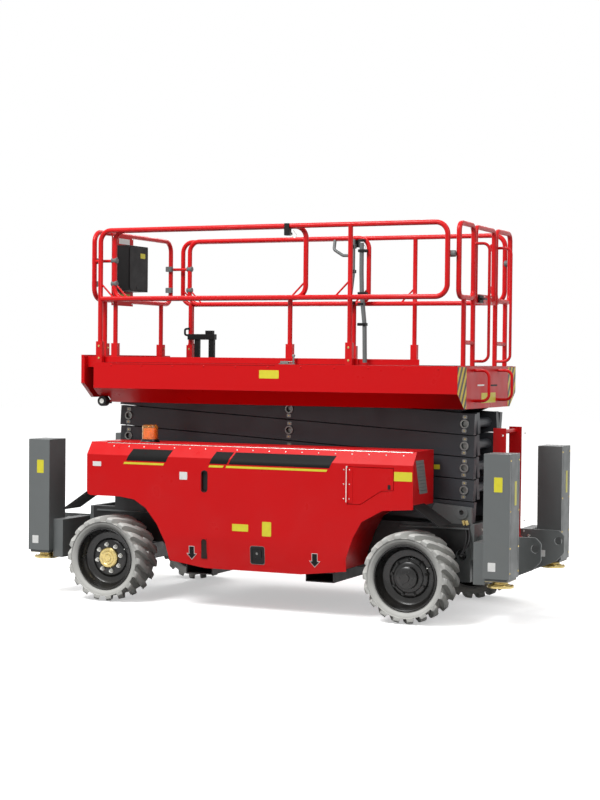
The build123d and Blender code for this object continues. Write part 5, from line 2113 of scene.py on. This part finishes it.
    def rollers(self) -> list[Piece]:
        """Builds the bright discs on the ends of the landing rollers.

        Returns:
            The pieces.
        """
        low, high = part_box("landing_buffers")
        centre = (low + high) / 2.0
        form = Form()
        for side in SIDES.values():
            at = frame_of((centre.x, side * (high.y - 0.0005), centre.z), (0.0, side, 0.0))
            form.spin([
                (0.0, 0.0), (0.020, 0.0), (0.019, 0.0022), (0.010, 0.003), (0.009, 0.0065), (0.0, 0.007)
            ], at, 28)
        return [form.done("roller_discs", BRIGHT, "platform")]


@dataclass
class Controls(Assembly):
    """The control box's closed lid, the panel's screws and their blank labels."""

    def __post_init__(self) -> None:
        """Reads the box's and the panel's places."""
        self.low, self.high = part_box("control_box")
        self.panel_low, self.panel_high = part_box("control_panel")

    def build(self) -> list[Piece]:
        """Builds the lid with a dark rim painted as the shade of the gap round it, the screws and the
        labels.

        Returns:
            The pieces.
        """
        middle = (self.low + self.high) / 2.0
        x = self.high.x
        width, height = self.high.y - self.low.y, self.high.z - self.low.z
        lid, shade_line, yellow, white = Form(), Form(), Form(), Form()
        at = frame_of((x, middle.y, middle.z), REAR)
        # painted shade: a dark rim just wider than the lid, standing for the shade in the gap round it
        shade_line.plate(soft_box(width - 0.016, height - 0.016, 0.028), 0.0012, at, 0.0)
        lid.plate(soft_box(width - 0.022, height - 0.022, 0.026), 0.006, at, 0.0028)
        lid.plate(soft_box(0.090, 0.026, 0.006, (0.0, 0.030 - height / 2.0)), 0.0085, at, 0.002)
        label(yellow, (x + 0.006, middle.y + 0.060, middle.z + 0.105), REAR, 0.075, 0.040)
        panel_x = self.panel_high.x
        label(yellow, (panel_x, middle.y + 0.030, self.low.z - 0.040), REAR, 0.180, 0.046)
        label(white, (panel_x, middle.y + 0.020, self.high.z + 0.040), REAR, 0.170, 0.044)
        columns = (self.panel_low.y + 0.016, self.panel_high.y - 0.016)
        levels = (self.panel_low.z + 0.02, self.panel_high.z - 0.03)
        seats = [Seat((panel_x, y, z), REAR) for y in columns for z in levels]
        screws = self.rows.lay("control_panel_screws", seats, self.shapes.button, BRIGHT, "extension", 0.7)
        made = [lid.done("control_lid", PLASTIC, "extension"), shade_line.done("control_seam", INK, "extension")]
        return [
            *made, yellow.done("control_labels", YELLOW_LABEL, "extension"),
            white.done("control_label_plain", WHITE_LABEL, "extension"), screws,
        ]


@dataclass
class Base(Assembly):
    """What shows on the chassis: beacon, grilles, hoses, tie-down labels, ladder bolts and flanges.

    Args:
        beam: The side beams' outer face from the centre line.
        flange: How far the flange strips stand out from it.
        rear_plate: The rear cross plate's outer face along X.
        front_plate: How far forward the front cross plate's outer face is.
    """

    beam: float = 0.396
    flange: float = 0.016
    rear_plate: float = 1.597
    front_plate: float = 1.650

    def build(self) -> list[Piece]:
        """Builds the fittings.

        Returns:
            The pieces.
        """
        return [
            *self.beacon(), *self.end_grilles(), *self.hoses(), *self.tie_downs(), *self.ladder(),
            *self.flanges(),
        ]

    def beacon(self) -> list[Piece]:
        """Builds the beacon's base, its banded amber lens and the lamp inside.

        Returns:
            The pieces.
        """
        low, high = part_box("warning_beacon")
        middle = (low + high) / 2.0
        at = frame_of((middle.x, middle.y, low.z), ABOVE, FAR)
        height = high.z - low.z
        base, lens, lamp = Form(), Form(), Form()
        base.spin([
            (0.0, 0.0002), (0.077, 0.0002), (0.0775, 0.004), (0.074, 0.010), (0.068, 0.014), (0.066, 0.024),
            (0.0, 0.024),
        ], at, 48)
        groove = ((0.0, 0.0), (0.0013, 0.003), (0.0013, 0.009), (0.0, 0.012))
        bands = [(0.0625 - dip, 0.034 + 0.020 * step + rise) for step in range(4) for dip, rise in groove]
        top = [
            (0.0620, height - 0.018), (0.0585, height - 0.007), (0.050, height - 0.0018),
            (0.0, height - 0.0005),
        ]
        under = [
            (0.0, height - 0.0035), (0.048, height - 0.005), (0.0550, height - 0.010),
            (0.0585, height - 0.020), (0.0585, 0.027),
        ]
        lens.spin([(0.0585, 0.0242), (0.0625, 0.0262), *bands, *top, *under], at, 64)
        lamp.spin([
            (0.0, 0.025), (0.050, 0.025), (0.0515, 0.030), (0.0515, 0.100), (0.046, 0.108), (0.0, 0.110)
        ], at, 48)
        made = base.done("beacon_base", BLACK, "chassis")
        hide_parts("warning_beacon")
        return [
            made, lens.done("beacon_lens", AMBER, "chassis"),
            lamp.done("beacon_lamp", AMBER_CORE, "chassis"),
        ]

    def end_grilles(self) -> list[Piece]:
        """Builds the slanted grille on each pod's rear and front wall.

        Returns:
            The pieces.
        """
        mesh, lip = Form(), Form()
        bottom, top, slant, thick = 0.920, 1.165, 0.087, 0.0022
        shape = [(-0.790, top), (-0.628, top), (-0.539, bottom), (-0.703, bottom)]
        for side in SIDES.values():
            low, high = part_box(f"side_pod_{'left' if side < 0 else 'right'}")
            for x, way in ((high.x, 1.0), (low.x, -1.0)):
                at = frame_of((x, 0.0, 0.0), (way, 0.0, 0.0))
                outline = [(side * -y * way, z) for y, z in shape]
                mesh.plate(outline, thick, at, 0.0006)
                bar_x = x + way * 0.003
                for i in range(9):
                    z = bottom + 0.025 + 0.0245 * i
                    lean = (z - bottom) / (top - bottom) * slant
                    start, end = (bar_x, side * (0.690 + lean), z), (bar_x, side * (0.549 + lean), z)
                    lip.rod(start, end, thick, 8)
        return [mesh.done("pod_grilles", VENT, "chassis"), lip.done("pod_grille_bars", GREY, "chassis")]

    def hoses(self) -> list[Piece]:
        """Builds the short hydraulic hoses at the rear of each side beam and their fittings.

        Returns:
            The pieces.
        """
        hose, brass = Form(), Form()
        for side in SIDES.values():
            y = side * self.beam
            for offset in (0.0, 0.024):
                x, lift = 1.487 + offset, offset * 0.8
                run = [
                    (x, y - side * 0.030, 0.458 + lift), (x, y + side * 0.020, 0.462 + lift),
                    (x + 0.020, y + side * 0.048, 0.478 + lift),
                ]
                run += [
                    (x + 0.052, y + side * 0.050, 0.520 + lift), (x + 0.062, y + side * 0.030, 0.580),
                    (x + 0.050, y + side * 0.004, 0.640), (x + 0.030, y - side * 0.004, 0.690),
                ]
                hose.hose(run, 0.0088)
                start, end = (x + 0.032, y - side * 0.003, 0.682), (x + 0.018, y - side * 0.008, 0.716)
                brass.rod(start, end, 0.0120, 6, 0.002)
        return [hose.done("rear_hoses", HOSE, "chassis"), brass.done("rear_hose_fittings", ZINC, "chassis")]

    def tie_downs(self) -> list[Piece]:
        """Builds the blank labels and round bolts on the tie-down plates and boxes.

        Returns:
            The pieces.
        """
        white, seats = Form(), []
        for way in ENDS.values():
            for side in SIDES.values():
                inner, outer = side * 0.300, side * 0.320
                label(white, (way * 1.880, outer, 0.560), (0.0, side, 0.0), 0.060, 0.050)
                label(white, (way * 1.905, inner, 0.430), (0.0, -side, 0.0), 0.050, 0.050)
                seats += [
                    Seat((way * x, inner, z), (0.0, -side, 0.0))
                    for x, z in ((1.70, 0.56), (1.70, 0.42), (1.80, 0.56))
                ]
                cross_plate = way * (self.rear_plate if way > 0 else self.front_plate)
                spots = [(cross_plate, side * y, z) for y in (0.10, 0.22) for z in (0.48, 0.64)]
                seats += [Seat(spot, (way, 0.0, 0.0)) for spot in spots]
        return [
            white.done("tie_down_labels", WHITE_LABEL, "chassis"),
            self.rows.lay("end_frame_bolts", seats, self.shapes.bolt, BRIGHT, "chassis", 1.3),
        ]

    def ladder(self) -> list[Piece]:
        """Sets the ladder's bolts.

        Returns:
            The pieces.
        """
        low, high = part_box("ladder")
        heights = (low.z + 0.05, low.z + 0.13, high.z - 0.05)
        seats = [Seat((high.x, y, z), REAR) for y in (low.y + 0.02, high.y - 0.02) for z in heights]
        return [self.rows.lay("ladder_bolts", seats, self.shapes.bolt, BRIGHT, "chassis", 0.9)]

    def flanges(self) -> list[Piece]:
        """Builds the narrow flange strips along the side beams.

        Returns:
            The pieces.
        """
        form = Form()
        for side in SIDES.values():
            near, far = sorted((side * self.beam, side * (self.beam + self.flange)))
            for start, end in ((-1.58, -1.10), (1.02, 1.56)):
                form.block((start, near, 0.652), (end, far, 0.664), 0.002)
        return [form.done("beam_flanges", GREY, "chassis")]


@dataclass
class Stage:
    """Floor, lamps, world and camera.

    Args:
        lens: The camera's focal length on a 36 mm long side.
        spot: Where the camera stands, in metres.
        turn: Its heading from the near side towards the machine's front, in degrees.
        fall: How far it looks down, in degrees.
        roll: Its roll, in degrees.
    """

    lens: float = 75.83
    spot: Point = (5.4627, -12.0751, 1.8743)
    turn: float = 24.28
    fall: float = 1.35
    roll: float = 0.56

    def build(self) -> None:
        """Sets the stage up."""
        self.camera()
        self.floor()
        self.world()
        self.lamps()
        bpy.context.scene.view_settings.view_transform = "Standard"

    def camera(self) -> None:
        """Places the camera."""
        turn, fall, roll = (math.radians(v) for v in (self.turn, self.fall, self.roll))
        ahead = Vector((-math.sin(turn) * math.cos(fall), math.cos(turn) * math.cos(fall), -math.sin(fall)))
        level = Vector((math.cos(turn), math.sin(turn), 0.0))
        top = level.cross(ahead)
        right = level * math.cos(roll) + top * math.sin(roll)
        up = top * math.cos(roll) - level * math.sin(roll)
        held = bpy.data.cameras.new("camera")
        held.lens = self.lens
        held.sensor_width = 36.0
        held.clip_end = 100.0
        camera = bpy.data.objects.new("camera", held)
        camera.matrix_world = Matrix.Translation(Vector(self.spot)) @ Matrix(
            (right, up, -ahead)
        ).transposed().to_4x4()
        bpy.context.scene.collection.objects.link(camera)
        bpy.context.scene.camera = camera

    def floor(self) -> None:
        """Lays a pale floor that keeps the machine's shadow."""
        made = bpy.data.meshes.new("floor")
        made.from_pydata([
            (-40.0, -40.0, 0.0), (40.0, -40.0, 0.0), (40.0, 40.0, 0.0), (-40.0, 40.0, 0.0)
        ], [], [(0, 1, 2, 3)])
        floor = bpy.data.objects.new("floor", made)
        bpy.context.scene.collection.objects.link(floor)
        stuff = bpy.data.materials.new("floor_paper")
        stuff.use_nodes = True
        stuff.node_tree.nodes.clear()
        graph = Graph(stuff.node_tree)
        paper = graph.add("ShaderNodeBsdfDiffuse", Color=(0.92, 0.92, 0.92, 1.0))
        dull = graph.add("ShaderNodeBsdfDiffuse", Color=(0.08, 0.08, 0.08, 1.0))
        glow = graph.add("ShaderNodeEmission", Color=(1.0, 1.0, 1.0, 1.0), Strength=0.46)
        both = graph.add("ShaderNodeAddShader")
        path = graph.add("ShaderNodeLightPath")
        seen = graph.math("MAXIMUM", path.outputs["Is Camera Ray"], path.outputs["Is Glossy Ray"])
        pick = graph.add("ShaderNodeMixShader")
        graph.link(paper.outputs[0], both.inputs[0])
        graph.link(glow.outputs[0], both.inputs[1])
        graph.link(seen, pick.inputs[0])
        graph.link(dull.outputs[0], pick.inputs[1])
        graph.link(both.outputs[0], pick.inputs[2])
        graph.link(pick.outputs[0], graph.add("ShaderNodeOutputMaterial").inputs[0])
        made.materials.append(stuff)

    def world(self) -> None:
        """Sets a soft grey-white surround that the camera sees as white."""
        sky = bpy.data.worlds.new("surround")
        sky.use_nodes = True
        sky.node_tree.nodes.clear()
        graph = Graph(sky.node_tree)
        split = graph.add("ShaderNodeSeparateXYZ")
        graph.link(graph.add("ShaderNodeTexCoord").outputs["Generated"], split.inputs[0])
        soft = graph.add("ShaderNodeBackground", Color=(1.0, 1.0, 1.0, 1.0))
        graph.link(graph.spread(split.outputs[2], (-0.1, 0.75), (0.03, 0.80)), soft.inputs["Strength"])
        white = graph.add("ShaderNodeBackground", Color=(1.0, 1.0, 1.0, 1.0), Strength=1.0)
        path = graph.add("ShaderNodeLightPath")
        seen = graph.math("MAXIMUM", path.outputs["Is Camera Ray"], path.outputs["Is Transmission Ray"])
        seen = graph.math("MAXIMUM", seen, path.outputs["Is Glossy Ray"])
        pick = graph.add("ShaderNodeMixShader")
        graph.link(seen, pick.inputs[0])
        graph.link(soft.outputs[0], pick.inputs[1])
        graph.link(white.outputs[0], pick.inputs[2])
        graph.link(pick.outputs[0], graph.add("ShaderNodeOutputWorld").inputs[0])
        bpy.context.scene.world = sky

    def lamps(self) -> None:
        """Hangs a large soft key lamp, a fill and a back lamp."""
        self.lamp("key", (-2.5, -7.4, 10.2), (0.0, 0.0, 1.3), 4.5, 1260.0)
        self.lamp("fill", (8.0, -4.0, 5.5), (0.5, 0.0, 1.5), 4.0, 170.0)
        self.lamp("back", (-2.0, 8.0, 7.5), (0.0, 0.0, 1.5), 5.0, 320.0)

    def lamp(self, name: str, spot: Point, target: Point, size: float, power: float) -> None:
        """Hangs a square soft lamp.

        Args:
            name: Its name.
            spot: Where it hangs.
            target: What it points at.
            size: Its side.
            power: Its power in watts.
        """
        held = bpy.data.lights.new(name, "AREA")
        held.size = size
        held.energy = power
        lamp = bpy.data.objects.new(name, held)
        lamp.location = spot
        lamp.rotation_euler = (Vector(target) - Vector(spot)).to_track_quat("-Z", "Y").to_euler()
        bpy.context.scene.collection.objects.link(lamp)


def between_the_ends(spot: Vector, normal: Vector) -> bool:
    """Tells the chassis frame's dark parts: its front end and what lies between the wheels."""
    return spot.x < -1.2 or abs(spot.x) < 1.1


def on_the_deck(spot: Vector, normal: Vector) -> bool:
    """Tells the platform's tread plate from its painted edges and underside."""
    return normal.z > 0.9 and abs(spot.y) < 0.66 and spot.z > 1.7


def on_the_roll_out_deck(spot: Vector, normal: Vector) -> bool:
    """Tells the roll-out deck's tread plate from its painted toe boards."""
    return normal.z > 0.9 and abs(spot.y) < 0.63 and spot.z < 1.85


def on_the_foot(spot: Vector, normal: Vector) -> bool:
    """Tells an outrigger's plated foot from its painted leg."""
    return spot.z < 0.345


def coats() -> dict[str, Coat]:
    """Says how each CAD node that keeps its shape is finished.

    Returns:
        The coats, by node.
    """
    table = {
        "chassis_frame": Coat(GREY, 0.003, CHARCOAL, between_the_ends),
        "forklift_pockets": Coat(CHARCOAL, 0.002),
        "front_end_frame": Coat(GREY, 0.003),
        "rear_end_frame": Coat(GREY, 0.003),
        "front_axle": Coat(BLACK, 0.004),
        "rear_axle": Coat(BLACK, 0.004),
        "side_pod_left": Coat(RED, 0.003),
        "side_pod_right": Coat(RED, 0.003),
        "engine_block": Coat(CHARCOAL, 0.004),
        "oil_tank": Coat(CHARCOAL, 0.004),
        "mud_flaps": Coat(RUBBER, 0.0),
        "ladder": Coat(RED, 0.002),
        "side_cover_left": Coat(RED, 0.003, merged=False),
        "side_cover_right": Coat(RED, 0.003, merged=False),
        "access_door": Coat(RED, 0.002),
        "steering_knuckle_left": Coat(BLACK, 0.003),
        "steering_knuckle_right": Coat(BLACK, 0.003),
        "lift_cylinder_barrel": Coat(BLACK, 0.002),
        "lift_cylinder_rod": Coat(CHROME, 0.001),
        "platform_frame": Coat(RED, 0.003, DECK, on_the_deck),
        "landing_buffers": Coat(RUBBER, 0.004),
        "guardrail_left": Coat(RED_RAIL, 0.0),
        "guardrail_right": Coat(RED_RAIL, 0.0),
        "end_guardrails": Coat(RED_RAIL, 0.0),
        "entry_gate": Coat(RED_RAIL, 0.0),
        "extension_deck": Coat(RED, 0.003, DECK, on_the_roll_out_deck),
        "extension_guardrail": Coat(RED_RAIL, 0.0),
        "control_panel": Coat(RED, 0.001),
        "control_box": Coat(PLASTIC, 0.004),
    }
    for end in ENDS:
        for side in SIDES:
            table[f"outrigger_housing_{end}_{side}"] = Coat(GREY, 0.003)
            table[f"outrigger_leg_{end}_{side}"] = Coat(GREY, 0.002, ZINC, on_the_foot)
    for level in range(1, Stack.levels + 1):
        table[f"outer_arm_{level}"] = Coat(SHADED_ARM_GREY, 0.003)
        table[f"inner_arm_{level}"] = Coat(SHADED_ARM_GREY, 0.003)
    return table


def main() -> None:
    """Builds every assembly, then the stage."""
    logging.basicConfig(level=logging.INFO, format="%(message)s")
    for node, coat in coats().items():
        coated(node, coat)
    log.info("coated the fixed nodes")
    rows, shapes = Rows(), Shapes()
    assemblies = [Base(rows, shapes), Stack(rows, shapes), Platform(rows, shapes), Controls(rows, shapes)]
    assemblies += [Hood(rows, shapes, side) for side in SIDES]
    assemblies += [
        kind(rows, shapes, side, end) for kind in (Wheel, Outrigger) for end in ENDS for side in SIDES
    ]
    for assembly in assemblies:
        for piece in assembly.build():
            log.info("%s: %d faces", piece.name, len(piece.data.polygons))
    shapes.clear()
    Stage().build()


if __name__ == "__main__":
    main()
